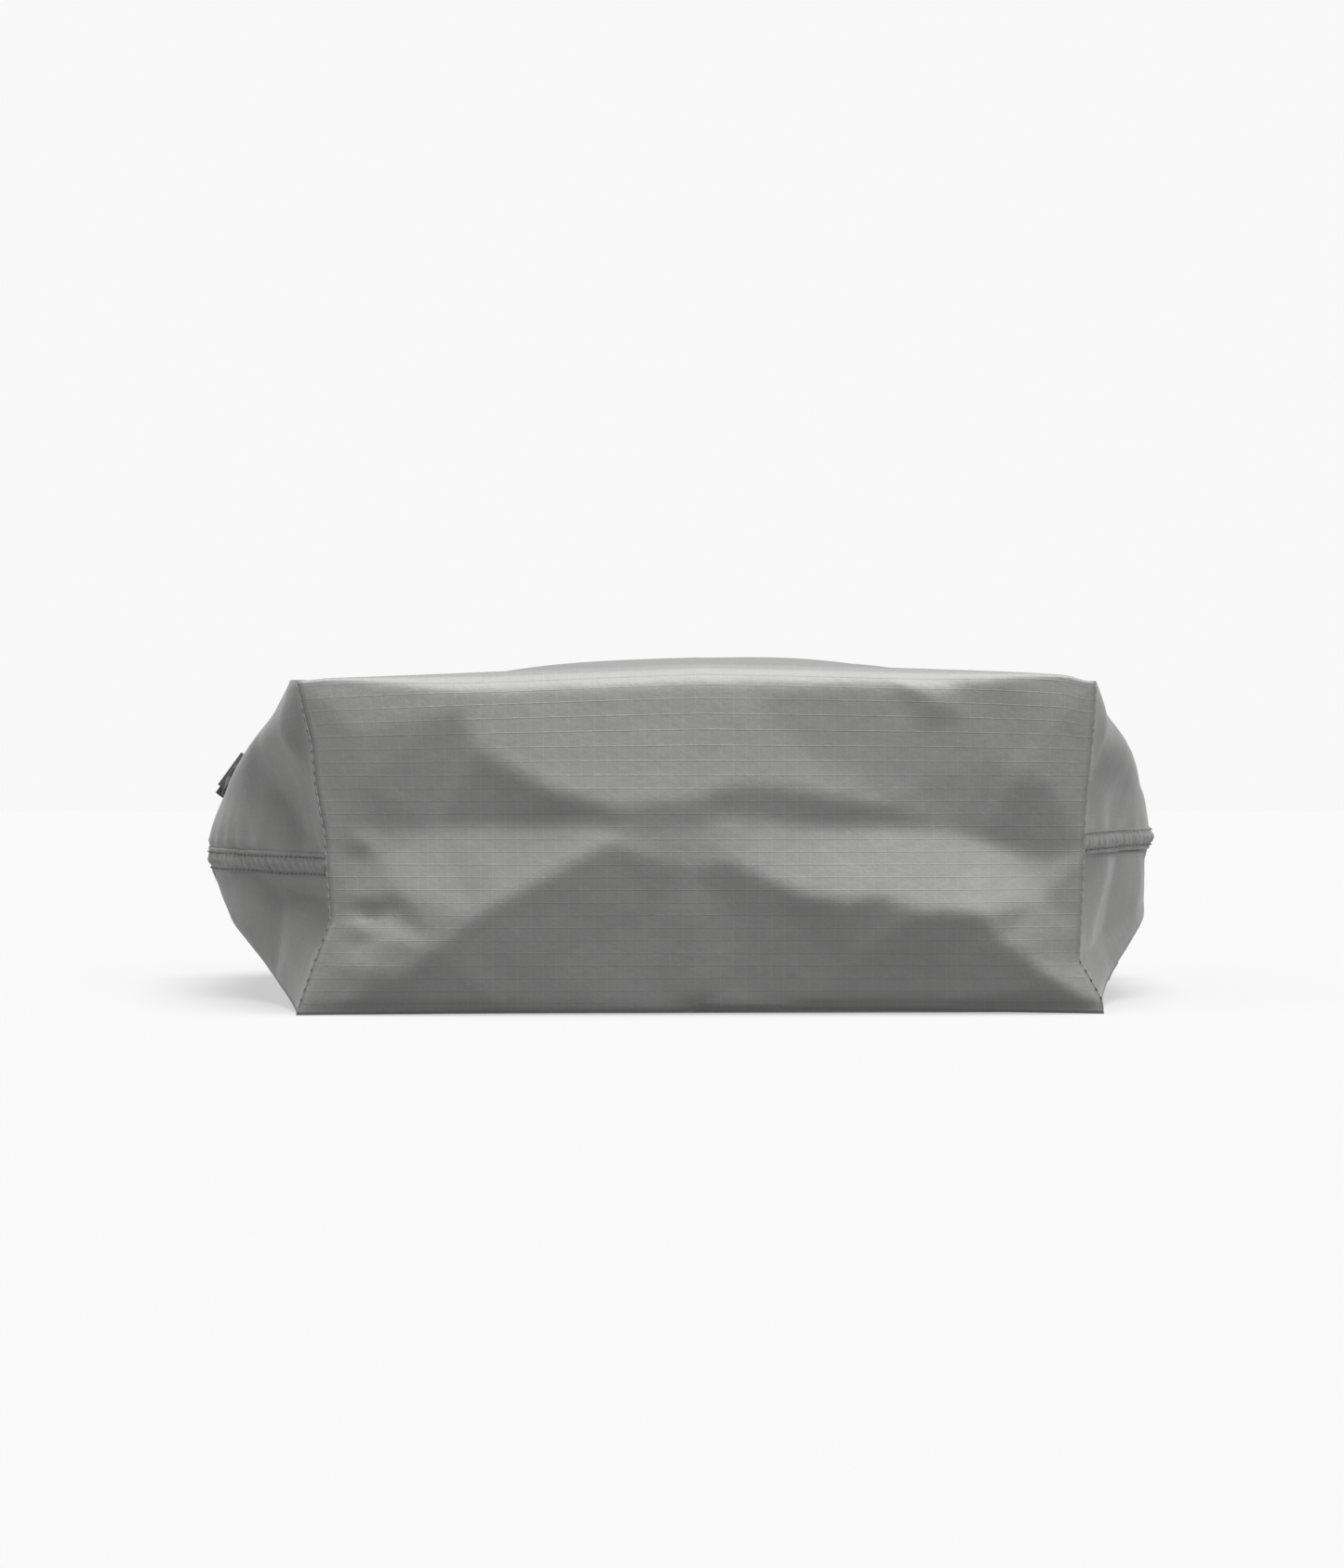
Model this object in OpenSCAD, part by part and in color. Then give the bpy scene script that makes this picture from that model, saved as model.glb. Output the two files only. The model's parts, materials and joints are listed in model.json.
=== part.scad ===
// Drawstring laundry bag with a boxed base, lying full on its back panel.
// Millimetres. X runs across the bag, Y from the base to the mouth, Z up.
// The origin is on the surface it lies on, below the middle of the bag.

/* [Bag] */
// Width of the flat base
base_w = 320; // [240:5:400]
// Depth of the flat base, front to back
base_d = 132; // [100:2:160]
// How far the middle of each end of the base bows in
base_bow = 10; // [0:1:16]
// Length from the base to the edge of the mouth
bag_len = 390; // [320:5:470]
// Width of the filled belly
belly_w = 410; // [340:5:500]
// Height of the filled belly
belly_h = 145; // [120:1:176]
// Distance from the base at which the belly is full
fill_len = 150; // [100:5:190]
// Distance from the base at which the bag starts to close
taper_at = 240; // [200:5:250]
// Thickness that stands for the cloth
cloth_t = 1.2; // [1:0.1:2]

/* [Mouth] */
// Width of the gathered mouth
mouth_w = 240; // [190:5:290]
// Height of the gathered mouth
mouth_h = 76; // [60:2:90]
// Height of the mouth's middle above the surface it lies on
mouth_z = 41; // [38:1:50]
// Width of the hem that holds the drawcord
hem_w = 22; // [18:1:28]
// Clear height of the tunnel inside the hem
tunnel_gap = 4.8; // [4.6:0.1:6]

/* [Seams] */
// Width of the felled side seams
seam_w = 8; // [5:0.5:12]
// Thickness of the folded cloth of a side seam
seam_t = 1; // [0.6:0.1:1.6]
// Thickness of the sewing thread
thread_d = 0.6; // [0.4:0.1:0.8]
// Width of the bound edge inside each end of the base
binding_w = 7; // [5:0.5:10]
// Thickness of the bound edge
binding_t = 1.6; // [1:0.1:2.4]

/* [Drawcord] */
// Diameter of the drawcord
cord_d = 3; // [2.4:0.1:3.2]
// Radius of the clear hole of an eyelet
eyelet_bore_r = 2.1; // [1.8:0.1:2.6]
// Radius of the rim of an eyelet
eyelet_rim_r = 4.2; // [3.8:0.1:5]
// Wall of the eyelet's barrel
eyelet_wall = 0.5; // [0.4:0.1:0.7]

/* [Cord lock] */
// Width of the lock along the cord
lock_w = 13; // [12:0.5:16]
// Thickness of the lock
lock_t = 8.2; // [7.6:0.2:10]
// Wall of the lock's shell
lock_wall = 1.2; // [1:0.1:1.5]
// Spacing of the two strands of cord in the lock
strand_gap = 3.2; // [3.2:0.1:3.6]
// Diameter of the holes that the strands run in
strand_bore = 3.4; // [3.4:0.1:3.8]
// Travel of the button
press_travel = 3; // [2:0.25:4]
// Solid head of the button
button_head = 4.4; // [4:0.2:6]
// Running clearance all round the button
button_gap = 0.1; // [0.05:0.01:0.15]
// Length of the spring with the button pressed home
spring_shut = 1.6; // [1.6:0.1:2.4]
// Thickness of the spring's wire
spring_wire = 0.4; // [0.3:0.05:0.5]

/* [Hang loop] */
// Width of the webbing
webbing_w = 10; // [8:1:15]
// Thickness of the webbing
webbing_t = 1; // [0.8:0.1:1.4]
// Clear width of the hanging loop
loop_gap = 7.4; // [6:0.2:9]
// Clear drop of the hanging loop
loop_drop = 23; // [16:1:26]

/* [Care label] */
// Width of the blank label along the seam
label_w = 26; // [16:1:40]
// Length of the blank label
label_len = 28; // [20:1:34]
// Thickness of the blank label
label_t = 0.5; // [0.4:0.1:0.8]

/* [Hidden] */

cloth_grey = [0.50, 0.50, 0.50];
seam_grey = [0.42, 0.42, 0.42];
thread_grey = [0.60, 0.60, 0.60];
cord_grey = [0.22, 0.22, 0.23];
lock_grey = [0.16, 0.16, 0.17];
metal_grey = [0.35, 0.35, 0.36];
label_white = [0.88, 0.88, 0.86];

front_round = 2.1;                     // squareness of the front panel's section at the belly
neck_round = 2.6;                      // and at the mouth
back_round = 3.2;                      // squareness of the back panel's section
settle = 10;                           // how much of the back panel lies flat on the surface
corner = base_w / (base_w + base_d);   // share of a half panel at which the base's corner is
air = 0.15;                            // clearance between sewn pieces
base_y = -bag_len / 2;
hem_y = bag_len - hem_w;
hem_mid = bag_len - hem_w / 2;
hem_t = 2 * cloth_t + tunnel_gap;

// ---- Small maths ----

function held(t) = min(1, max(0, t));
function smooth(t) = let (c = held(t)) c * c * (3 - 2 * c);
function mix(a, b, t) = a + (b - a) * t;
function unit(v) = v / norm(v);

// ---- The skin of the bag ----
// A section at distance y from the base runs from the middle of a panel, r = 0, to the side
// seam, r = 1. It turns from the base's rectangle into a rounded oval, which then closes.

function closing(y) = smooth((y - taper_at) / (bag_len - taper_at));
function seam_z(y) = mix(base_d / 2, mouth_z, closing(y));

function base_section(r) = let (
        run = r * (base_w + base_d) / 2,
        e = held((run - base_w / 2) / (base_d / 2)))
    [min(run, base_w / 2) - base_bow * sin(90 * e), base_d / 2 * (1 - e)];

function oval_section(y, r, front) = let (
        n = front ? mix(front_round, neck_round, closing(y)) : back_round,
        k = pow(pow(sin(90 * r), n) + pow(cos(90 * r), n), 1 / n),
        full = front ? belly_h - base_d / 2 : base_d / 2 + settle)
    [mix(belly_w, mouth_w, closing(y)) / 2 * sin(90 * r) / k,
     mix(full, mouth_h / 2, closing(y)) * cos(90 * r) / k];

function section(y, r, front) = let (
        m = mix(base_section(r), oval_section(y, r, front), smooth(y / fill_len)))
    [m[0], front ? seam_z(y) + m[1] : max(0, seam_z(y) - m[1])];

// Outward direction of a section: straight up or down in the middle, sideways at the seam.
function outward(y, r, front) = r > 0.999 ? [1, 0] : r < 0.001 ? [0, front ? 1 : -1] :
    let (h = 0.004, t = unit(section(y, min(1, r + h), front) - section(y, max(0, r - h), front)))
    front ? [-t[1], t[0]] : [t[1], -t[0]];

// A point of the skin, sunk inwards by depth; s runs from the left seam, -1, to the right, 1.
function skin(y, s, front, depth = 0) = let (
        p = section(y, abs(s), front) - depth * outward(y, abs(s), front))
    [sign(s) * p[0], base_y + y, p[1]];

// The same point by its place w round the whole section: 0 front, 1 right, 2 back, 3 left.
function round_skin(y, w, depth = 0) = let (t = w < 0 ? w + 4 : w)
    t <= 1 ? skin(y, t, true, depth) : t <= 2 ? skin(y, 2 - t, false, depth) :
    t <= 3 ? skin(y, 2 - t, false, depth) : skin(y, t - 4, true, depth);

// ---- Meshes made from rows of points ----

// Triangles that join row i to row i + 1; each row is a closed outline of n points.
function band(i, n) = [
    for (j = [0 : n - 1])
        let (a = i * n + j, b = i * n + (j + 1) % n)
        each [[a, b + n, b], [a, a + n, b + n]]];

// Triangles that close a row of n points, from one long side of its outline to the other.
function cap(first, n, turned) = [
    for (j = [0 : n / 2 - 2])
        let (a = first + j, b = a + 1, c = first + n - 2 - j, d = c + 1)
        each turned ? [[a, c, d], [a, b, c]] : [[a, d, c], [a, c, b]]];

// A solid through rows of closed outlines, with flat ends.
module closed_rows(rows) {
    n = len(rows[0]);
    last = len(rows) - 1;
    polyhedron([for (row = rows) each row], concat(
        [for (i = [0 : last - 1]) each band(i, n)],
        cap(0, n, true),
        cap(last * n, n, false)));
}

// A ring through rows of closed outlines: the last row joins the first.
module ring_rows(rows) {
    n = len(rows[0]);
    total = len(rows) * n;
    polyhedron([for (row = rows) each row], [
        for (i = [0 : len(rows) - 1]) each [for (f = band(i, n)) [for (v = f) v % total]]]);
}

// Frames carried along a path with as little twist as can be; each is [point, side, side].
function carried(path, start) = let (
        last = len(path) - 1,
        along = [for (i = [0 : last]) unit(path[min(last, i + 1)] - path[max(0, i - 1)])])
    [for (i = 0, u = unit(start - along[0] * (start * along[0]));
          i <= last;
          i = i + 1, u = i > last ? u : unit(u - along[i] * (u * along[i])))
        [path[i], u, cross(along[i], u)]];

// A round tube along a path.
module tube(path, d, sides, start = [0, 0, 1]) {
    closed_rows([for (f = carried(path, start)) [
        for (k = [0 : sides - 1]) let (a = 360 * (k + 0.5) / sides)
            f[0] + d / 2 * (cos(a) * f[1] + sin(a) * f[2])]]);
}

// ---- Panels ----

half_steps = concat([for (i = [0 : 7]) corner * i / 7], [for (i = [1 : 5]) corner + (1 - corner) * i / 5]);
panel_steps = concat([for (i = [len(half_steps) - 1 : -1 : 1]) -half_steps[i]], half_steps);
panel_rows = 20;

function panel_y(i) = mix(cloth_t, hem_y, i / panel_rows);

// One half of the skin, from just behind the base to the hem, front or back.
module panel(front) {
    turn = front ? -1 : 1;
    closed_rows([for (i = [0 : panel_rows]) let (y = panel_y(i))
        concat([for (s = panel_steps) skin(y, turn * s, front, cloth_t)],
               [for (k = [len(panel_steps) - 1 : -1 : 0]) skin(y, turn * panel_steps[k], front)])]);
}

module base_panel() {
    outline = [for (q = [0 : 3], s = [0 : len(half_steps) - 2])
        let (p = round_skin(0, q % 2 == 0 ? q + half_steps[s] : q + 1 - half_steps[len(half_steps) - 1 - s]))
        [p[0], p[2]]];
    color(cloth_grey)
        translate([0, base_y + cloth_t, 0])
            rotate([90, 0, 0])
                linear_extrude(cloth_t)
                    polygon(outline);
}

module front_panel() {
    color(cloth_grey) panel(true);
}

module back_panel() {
    color(cloth_grey) panel(false);
}

// ---- Side seams ----
// The left seam is felled towards the back panel and the right one towards the front.

// A seam starts over the edge of the base and ends short of the hem.
function seam_y(i) = i == 0 ? air : i == panel_rows ? hem_y - air : panel_y(i);

// Share of a half panel that spans a width measured from the side seam.
function seam_share(y, front, width) =
    0.02 * width / norm(skin(y, 1, front) - skin(y, 0.98, front));

function seam_skin(y, side, front, width, height) =
    skin(y, side * (1 - seam_share(y, front, width)), front, -height);

module felled_seam(side, front) {
    turn = side * (front ? 1 : -1);
    edges = turn > 0 ? [0, seam_w / 2, seam_w] : [seam_w, seam_w / 2, 0];
    color(seam_grey)
        closed_rows([for (i = [0 : panel_rows]) let (y = seam_y(i))
            concat([for (e = edges) seam_skin(y, side, front, e, air)],
                   [for (k = [2 : -1 : 0]) seam_skin(y, side, front, edges[k], air + seam_t)])]);
}

module left_side_seam() {
    felled_seam(-1, false);
}

module right_side_seam() {
    felled_seam(1, true);
}

module side_seam_threads() {
    inset = 1.2;
    height = air + seam_t + thread_d / 2;
    color(thread_grey)
        for (side = [-1, 1], width = [inset, seam_w - inset])
            tube([for (i = [0 : panel_rows]) let (y = seam_y(i))
                seam_skin(y, side, side > 0, width, height)], thread_d, 4, [1, 0, 0]);
}

// Bound cloth edge that stands inside along each boxed end of the base.
module corner_binding(side) {
    steps = [for (k = [1 : 19]) corner + (1 - corner) * (k < 10 ? k / 10 : 2 - k / 10)];
    low = cloth_t + air;
    color(seam_grey)
        closed_rows([for (k = [0 : len(steps) - 1]) let (
                front = k < 9 + 0.5,
                lie = [[low, cloth_t + air], [low, cloth_t + air + binding_t],
                       [low + binding_w, cloth_t + air + binding_t], [low + binding_w, cloth_t + air]],
                order = side > 0 ? [0, 1, 2, 3] : [3, 2, 1, 0])
            [for (o = order) skin(lie[o][0], side * steps[k], front, lie[o][1])]]);
}

module left_corner_binding() {
    corner_binding(-1);
}

module right_corner_binding() {
    corner_binding(1);
}

// ---- Hem and eyelets ----

hem_rows = 56;
eyelet_places = [3.36, 3.12];          // places round the hem, both on the front near the left seam
eyelet_fit = 0.15;
washer_t = 0.5;
washer_h = cloth_t + 0.55;
rim_h = 0.35;

function hem_ring(outline) = [for (i = [0 : hem_rows - 1])
    [for (p = outline) round_skin(p[0], 4 * i / hem_rows, p[1])]];

module at_eyelets() {
    for (w = eyelet_places) {
        round_way = round_skin(hem_mid, w + 0.02) - round_skin(hem_mid, w - 0.02);
        long_way = round_skin(hem_mid + 1, w) - round_skin(hem_mid - 1, w);
        n = unit(cross(round_way, long_way));
        translate(round_skin(hem_mid, w)) rotate([0, acos(n[2]), atan2(n[1], n[0])]) children();
    }
}

module hem() {
    lip = 1.2;
    margin = 1.6;
    low = hem_y + margin;
    high = bag_len - margin;
    under = cloth_t + tunnel_gap;
    color(cloth_grey)
        difference() {
            ring_rows(hem_ring([[hem_y, 0], [hem_y, hem_t], [hem_mid, hem_t], [bag_len - lip, hem_t],
                                [bag_len, hem_t - lip], [bag_len, lip], [bag_len - lip, 0], [hem_mid, 0]]));
            ring_rows(hem_ring([[low, cloth_t], [low, under], [hem_mid, under], [high, under],
                                [high, cloth_t], [hem_mid, cloth_t]]));
            at_eyelets()
                translate([0, 0, -cloth_t - 1])
                    cylinder(h = cloth_t + 3, r = eyelet_bore_r + eyelet_wall + eyelet_fit, $fn = 32);
        }
}

module hem_threads() {
    inset = 1.6;
    h = thread_d / 2 + 2 * air;
    y = hem_y + inset;
    color(thread_grey)
        ring_rows([for (i = [0 : hem_rows - 1]) let (w = 4 * i / hem_rows)
            [round_skin(y - thread_d / 2, w, -h), round_skin(y, w, -h + thread_d / 2),
             round_skin(y + thread_d / 2, w, -h), round_skin(y, w, -h - thread_d / 2)]]);
}

module eyelets() {
    rim_t = 0.7;
    barrel_r = eyelet_bore_r + eyelet_wall;
    foot = -washer_h - washer_t;
    color(metal_grey)
        at_eyelets()
            rotate_extrude($fn = 48)
                polygon([[eyelet_bore_r, foot], [barrel_r, foot], [barrel_r, rim_h], [eyelet_rim_r, rim_h],
                         [eyelet_rim_r, rim_h + 0.3], [eyelet_rim_r - 0.5, rim_h + rim_t],
                         [barrel_r, rim_h + rim_t], [eyelet_bore_r, rim_h + 0.3]]);
}

module eyelet_washers() {
    color(metal_grey)
        at_eyelets()
            translate([0, 0, -washer_h - washer_t])
                difference() {
                    cylinder(h = washer_t, r = eyelet_rim_r - 0.6, $fn = 48);
                    translate([0, 0, -1])
                        cylinder(h = washer_t + 2, r = eyelet_bore_r + eyelet_wall + 0.05, $fn = 48);
                }
}

// ---- Drawcord ----
// The loop leaves the upper eyelet, runs along the bag and through the lock, turns, and comes
// back through the lock to the lower eyelet. The points are chosen by hand.

cord_route = [
    [-108, 184, 61.5], [-111.5, 183.5, 66.5], [-114, 180.5, 69.5], [-116, 174, 70.5],
    [-118.5, 165, 71], [-126, 153, 73.5], [-142, 133, 79], [-159, 113, 84.5],
    [-176, 93, 90], [-191, 75, 94], [-200.9, 61, 94.5], [-200.9, 49, 94.5],
    [-200.9, 35, 94.5], [-200.9, 21, 94.5], [-200.9, 7, 94.5], [-200.9, -5, 94.5],
    [-199, -11.5, 97], [-195.5, -19, 98], [-197, -24.5, 95.5], [-199.5, -27, 91.5],
    [-202.5, -24.5, 87.5], [-203.5, -19, 85.5], [-203, -11.5, 88.7], [-202.7, -5, 91.9],
    [-202.7, 7, 91.9], [-202.7, 21, 91.9], [-202.7, 35, 91.9], [-202.7, 49, 91.9],
    [-202.7, 61, 91.9], [-197, 75, 88.5], [-183.5, 93, 79.5], [-168.5, 113, 71],
    [-153, 133, 63], [-138.5, 153, 56], [-132, 165, 52.5], [-130, 174, 51.5],
    [-128.5, 180.5, 50.5], [-124.5, 183.5, 49.5], [-118.5, 184, 48]];

// A smooth curve through every point, with one point more between each two.
function eased(p) = let (last = len(p) - 1) [
    for (i = [0 : last]) each i == last ? [p[i]] :
        let (a = p[max(0, i - 1)], d = p[min(last, i + 2)])
        [p[i], (9 * (p[i] + p[i + 1]) - a - d) / 16]];

cord_depth = washer_h + washer_t + air + cord_d / 2;

module drawcord_in_hem() {
    step = 4 / hem_rows;
    first = ceil(eyelet_places[1] / step);
    last = floor((eyelet_places[0] - 4) / step);
    color(cord_grey)
        tube([for (i = [first : -1 : last]) round_skin(hem_mid, i * step, cord_depth)],
             cord_d, 8, [0, 1, 0]);
}

module drawcord_loop() {
    color(cord_grey) tube(eased(cord_route), cord_d, 8, [0, 0, 1]);
}

// ---- Cord lock ----
// Made lying flat: x along the button, y along the cord, z out of the bag. The strands of cord
// cross at x = -strand_gap / 2 and x = strand_gap / 2.

lock_place = [-201.8, 13, 93.2];
lock_lean = 54;
pinch_gap = 0.1;
window_end = strand_gap / 2 + cord_d / 2 + pinch_gap;
window_start = -window_end - press_travel;
button_bar = 1.5;
button_top = window_end + button_bar;
button_foot = window_start - button_head;
lock_foot = button_foot + press_travel + 0.6;
lock_floor = button_top + spring_shut + press_travel;
lock_top = lock_floor + lock_wall;

module lock_frame() {
    translate(lock_place) rotate([0, -lock_lean, 0]) children();
}

// A bar along x with a stadium section, from one x to another.
module stadium_bar(from, to, width, thick) {
    offset_y = (width - thick) / 2;
    for (side = [-1, 1])
        translate([from, side * offset_y, 0])
            rotate([0, 90, 0])
                cylinder(h = to - from, d = thick, $fn = 48);
    translate([from, -offset_y, -thick / 2])
        cube([to - from, 2 * offset_y, thick]);
}

// The slot that both strands run in, straight through along y.
module strand_slot(length) {
    for (side = [-1, 1])
        translate([side * strand_gap / 2, length / 2, 0])
            rotate([90, 0, 0])
                cylinder(h = length, d = strand_bore, $fn = 32);
    translate([-strand_gap / 2, -length / 2, -strand_bore / 2])
        cube([strand_gap, length, strand_bore]);
}

module cord_lock_body() {
    color(lock_grey)
        lock_frame()
            difference() {
                stadium_bar(lock_foot, lock_top, lock_w, lock_t);
                stadium_bar(lock_foot - 1, lock_floor, lock_w - 2 * lock_wall, lock_t - 2 * lock_wall);
                strand_slot(lock_w + 2);
            }
}

module cord_lock_button() {
    shrink = 2 * (lock_wall + button_gap);
    width = lock_w - shrink;
    color(lock_grey)
        lock_frame()
            difference() {
                stadium_bar(button_foot, button_top, width, lock_t - shrink);
                translate([window_start, -width / 2 - 1, -strand_bore / 2])
                    cube([window_end - window_start, width + 2, strand_bore]);
            }
}

module cord_lock_spring() {
    turns = 3;
    steps = 12;
    r = (lock_t - 2 * lock_wall) / 2 - spring_wire - 0.3;
    low = button_top + spring_wire / 2 + 0.02;
    high = lock_floor - spring_wire / 2 - 0.02;
    color(metal_grey)
        lock_frame()
            tube([for (i = [0 : turns * steps]) let (a = 360 * i / steps)
                [mix(low, high, i / turns / steps), r * cos(a), r * sin(a)]], spring_wire, 6, [1, 0, 0]);
}

// ---- Hang loop and label ----

// The webbing hangs as a flat ring from a sewn stem beside the right seam, below the hem.
module hang_loop() {
    stem = 9;
    y = hem_y - webbing_w - 12;
    x = section(y, 1, false)[0] + 4 * air;
    z = seam_z(y) - 2;
    inner = loop_gap / 2;
    outer = inner + webbing_t;
    top = z - stem - inner;
    color(seam_grey)
        translate([x, base_y + y + webbing_w, 0])
            rotate([90, 0, 0])
                linear_extrude(webbing_w) {
                    difference() {
                        ring_outline(outer, outer, top, loop_drop - loop_gap);
                        ring_outline(inner, outer, top, loop_drop - loop_gap);
                    }
                    translate([0, z - stem])
                        square([2 * webbing_t, stem]);
                }
}

// A stadium outline hanging down from its upper round end.
module ring_outline(r, x, top, drop) {
    for (z = [top, top - drop])
        translate([x, z])
            circle(r, $fn = 32);
    translate([x - r, top - drop])
        square([2 * r, drop]);
}

// The blank label hangs inside, from the left seam.
module care_label() {
    y = fill_len + 10;
    swing = 12;
    p = skin(y, -1, false, cloth_t + 0.3);
    color(label_white)
        translate(p)
            rotate([0, -swing, 0])
                translate([0, 0, -label_len])
                    cube([label_t, label_w, label_len]);
}

base_panel();
front_panel();
back_panel();
left_side_seam();
right_side_seam();
side_seam_threads();
left_corner_binding();
right_corner_binding();
hem();
hem_threads();
eyelets();
eyelet_washers();
drawcord_in_hem();
drawcord_loop();
cord_lock_body();
cord_lock_button();
cord_lock_spring();
hang_loop();
care_label();
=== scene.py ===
"""Looks of a drawstring laundry bag with a boxed base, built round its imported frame.

Lengths are in metres. X runs across the bag, Y from the base to the mouth, Z up. A place on the
cloth is given by w, which goes once round the bag in four quarters (0 middle of the front, 1 right
seam, 2 middle of the back, 3 left seam), and y, its distance from the base.
"""

import json
import logging
import math
from dataclasses import dataclass, field
from enum import Enum

import bmesh
import bpy
import numpy as np
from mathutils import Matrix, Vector
from mathutils.geometry import delaunay_2d_cdt


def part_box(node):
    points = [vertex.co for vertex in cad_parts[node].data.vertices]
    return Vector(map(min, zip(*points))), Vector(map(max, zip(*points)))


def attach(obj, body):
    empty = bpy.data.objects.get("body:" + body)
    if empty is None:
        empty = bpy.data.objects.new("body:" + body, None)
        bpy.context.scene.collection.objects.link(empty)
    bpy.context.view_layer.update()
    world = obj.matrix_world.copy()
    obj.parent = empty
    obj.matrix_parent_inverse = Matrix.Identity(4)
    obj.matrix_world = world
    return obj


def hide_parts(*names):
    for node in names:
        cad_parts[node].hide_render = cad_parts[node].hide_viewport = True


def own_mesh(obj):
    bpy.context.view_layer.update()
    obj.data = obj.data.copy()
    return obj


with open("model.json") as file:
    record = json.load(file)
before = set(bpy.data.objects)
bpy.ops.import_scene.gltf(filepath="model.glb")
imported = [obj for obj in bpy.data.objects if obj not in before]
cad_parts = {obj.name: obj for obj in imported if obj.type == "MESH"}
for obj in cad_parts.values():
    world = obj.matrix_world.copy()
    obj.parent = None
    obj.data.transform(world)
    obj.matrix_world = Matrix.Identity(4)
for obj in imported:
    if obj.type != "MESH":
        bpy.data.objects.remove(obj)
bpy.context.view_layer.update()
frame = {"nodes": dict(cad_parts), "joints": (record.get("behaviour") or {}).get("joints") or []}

LOG = logging.getLogger("laundry_bag")
MM = 0.001
RIPSTOP_PITCH = 0.005
STITCH_ROWS, STITCH_SIDES = 7, 6
Array = np.ndarray
Piece = bpy.types.Object
Material = bpy.types.Material
Tree = bpy.types.NodeTree


# ---- Small maths ----

def smooth(t: Array) -> Array:
    """A soft step from 0 to 1 while t goes from 0 to 1."""
    c = np.clip(t, 0.0, 1.0)
    return c * c * (3.0 - 2.0 * c)


def mix(a: Array, b: Array, t: Array) -> Array:
    """The value that lies t of the way from a to b."""
    return a + (b - a) * t


def unit(v: Array) -> Array:
    """Vectors of length one, along the last axis."""
    return v / np.maximum(np.linalg.norm(v, axis=-1, keepdims=True), 1e-12)


def bump(t: Array) -> Array:
    """A round hump of height one at t = 0 that ends at t = -1 and t = 1."""
    return np.cos(np.clip(t, -1.0, 1.0) * math.pi / 2) ** 2


# ---- Meshes ----

def grid_faces(rows: int, columns: int, closed: bool = False) -> Array:
    """Quads of a grid of points.

    Args:
        rows: Number of rows of points.
        columns: Number of points in a row.
        closed: Whether the last column joins the first.

    Returns:
        The corner numbers of each quad.
    """
    i = np.arange(rows - 1)[:, None]
    j = np.arange(columns if closed else columns - 1)[None, :]
    a, b = i * columns + j, i * columns + (j + 1) % columns
    return np.stack([a, b, b + columns, a + columns], -1).reshape(-1, 4)


def make_piece(name: str, points: Array, faces: list, uv: Array | None = None) -> Piece:
    """Puts points and faces into a new smooth-shaded object at the origin.

    Args:
        name: Name of the piece.
        points: Places of the vertices.
        faces: Corner numbers of each face.
        uv: One pair of cloth coordinates for each vertex, in metres.

    Returns:
        The new object.
    """
    mesh = bpy.data.meshes.new(name)
    mesh.from_pydata(np.asarray(points, float).reshape(-1, 3).tolist(), [], [list(f) for f in faces])
    if uv is not None:
        corners = np.zeros(len(mesh.loops), np.int32)
        mesh.loops.foreach_get("vertex_index", corners)
        layer = mesh.uv_layers.new(name="cloth")
        layer.data.foreach_set("uv", np.asarray(uv, np.float32).reshape(-1, 2)[corners].ravel())
    mesh.polygons.foreach_set("use_smooth", np.ones(len(mesh.polygons), bool))
    mesh.update()
    piece = bpy.data.objects.new(name, mesh)
    bpy.context.scene.collection.objects.link(piece)
    return piece


def tidy_normals(piece: Piece, merge: float = 1e-6) -> None:
    """Merges doubled points and turns all faces of a piece outwards.

    Args:
        piece: The piece.
        merge: Distance under which two points count as one.
    """
    b = bmesh.new()
    b.from_mesh(piece.data)
    bmesh.ops.remove_doubles(b, verts=b.verts, dist=merge)
    bmesh.ops.recalc_face_normals(b, faces=b.faces)
    b.to_mesh(piece.data)
    b.free()


def lofted(name: str, rows: Array, uv: Array | None = None, ring: bool = False) -> Piece:
    """A solid through rows of closed outlines, capped at both ends unless the rows form a ring.

    Args:
        name: Name of the piece.
        rows: Outlines, as an array of row, point and coordinate.
        uv: Cloth coordinates for the same points.
        ring: Whether the last row joins the first.

    Returns:
        The new object.
    """
    n, m = rows.shape[:2]
    if ring:
        rows = np.concatenate([rows, rows[:1]])
        uv = None if uv is None else np.concatenate([uv, uv[:1]])
        faces = grid_faces(n + 1, m, True).tolist()
    else:
        faces = grid_faces(n, m, True).tolist()
        faces += [list(range(m))[::-1], list(range((n - 1) * m, n * m))]
    piece = make_piece(name, rows, faces, uv)
    tidy_normals(piece)
    return piece


def carried_frames(path: Array) -> tuple[Array, Array]:
    """Two directions square to a path that turn as little as can be along it.

    Each direction is the one before it, made square to the path again.

    Args:
        path: Points of the path.

    Returns:
        The two directions at each point.
    """
    along = unit(np.gradient(path, axis=0))
    side = np.array([0.0, 0.0, 1.0]) if abs(along[0][2]) < 0.9 else np.array([1.0, 0.0, 0.0])
    sides = np.zeros_like(path)
    for i, t in enumerate(along):
        side = side - t * (side @ t)
        side = side / np.linalg.norm(side)
        sides[i] = side
    return sides, np.cross(along, sides)


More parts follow.
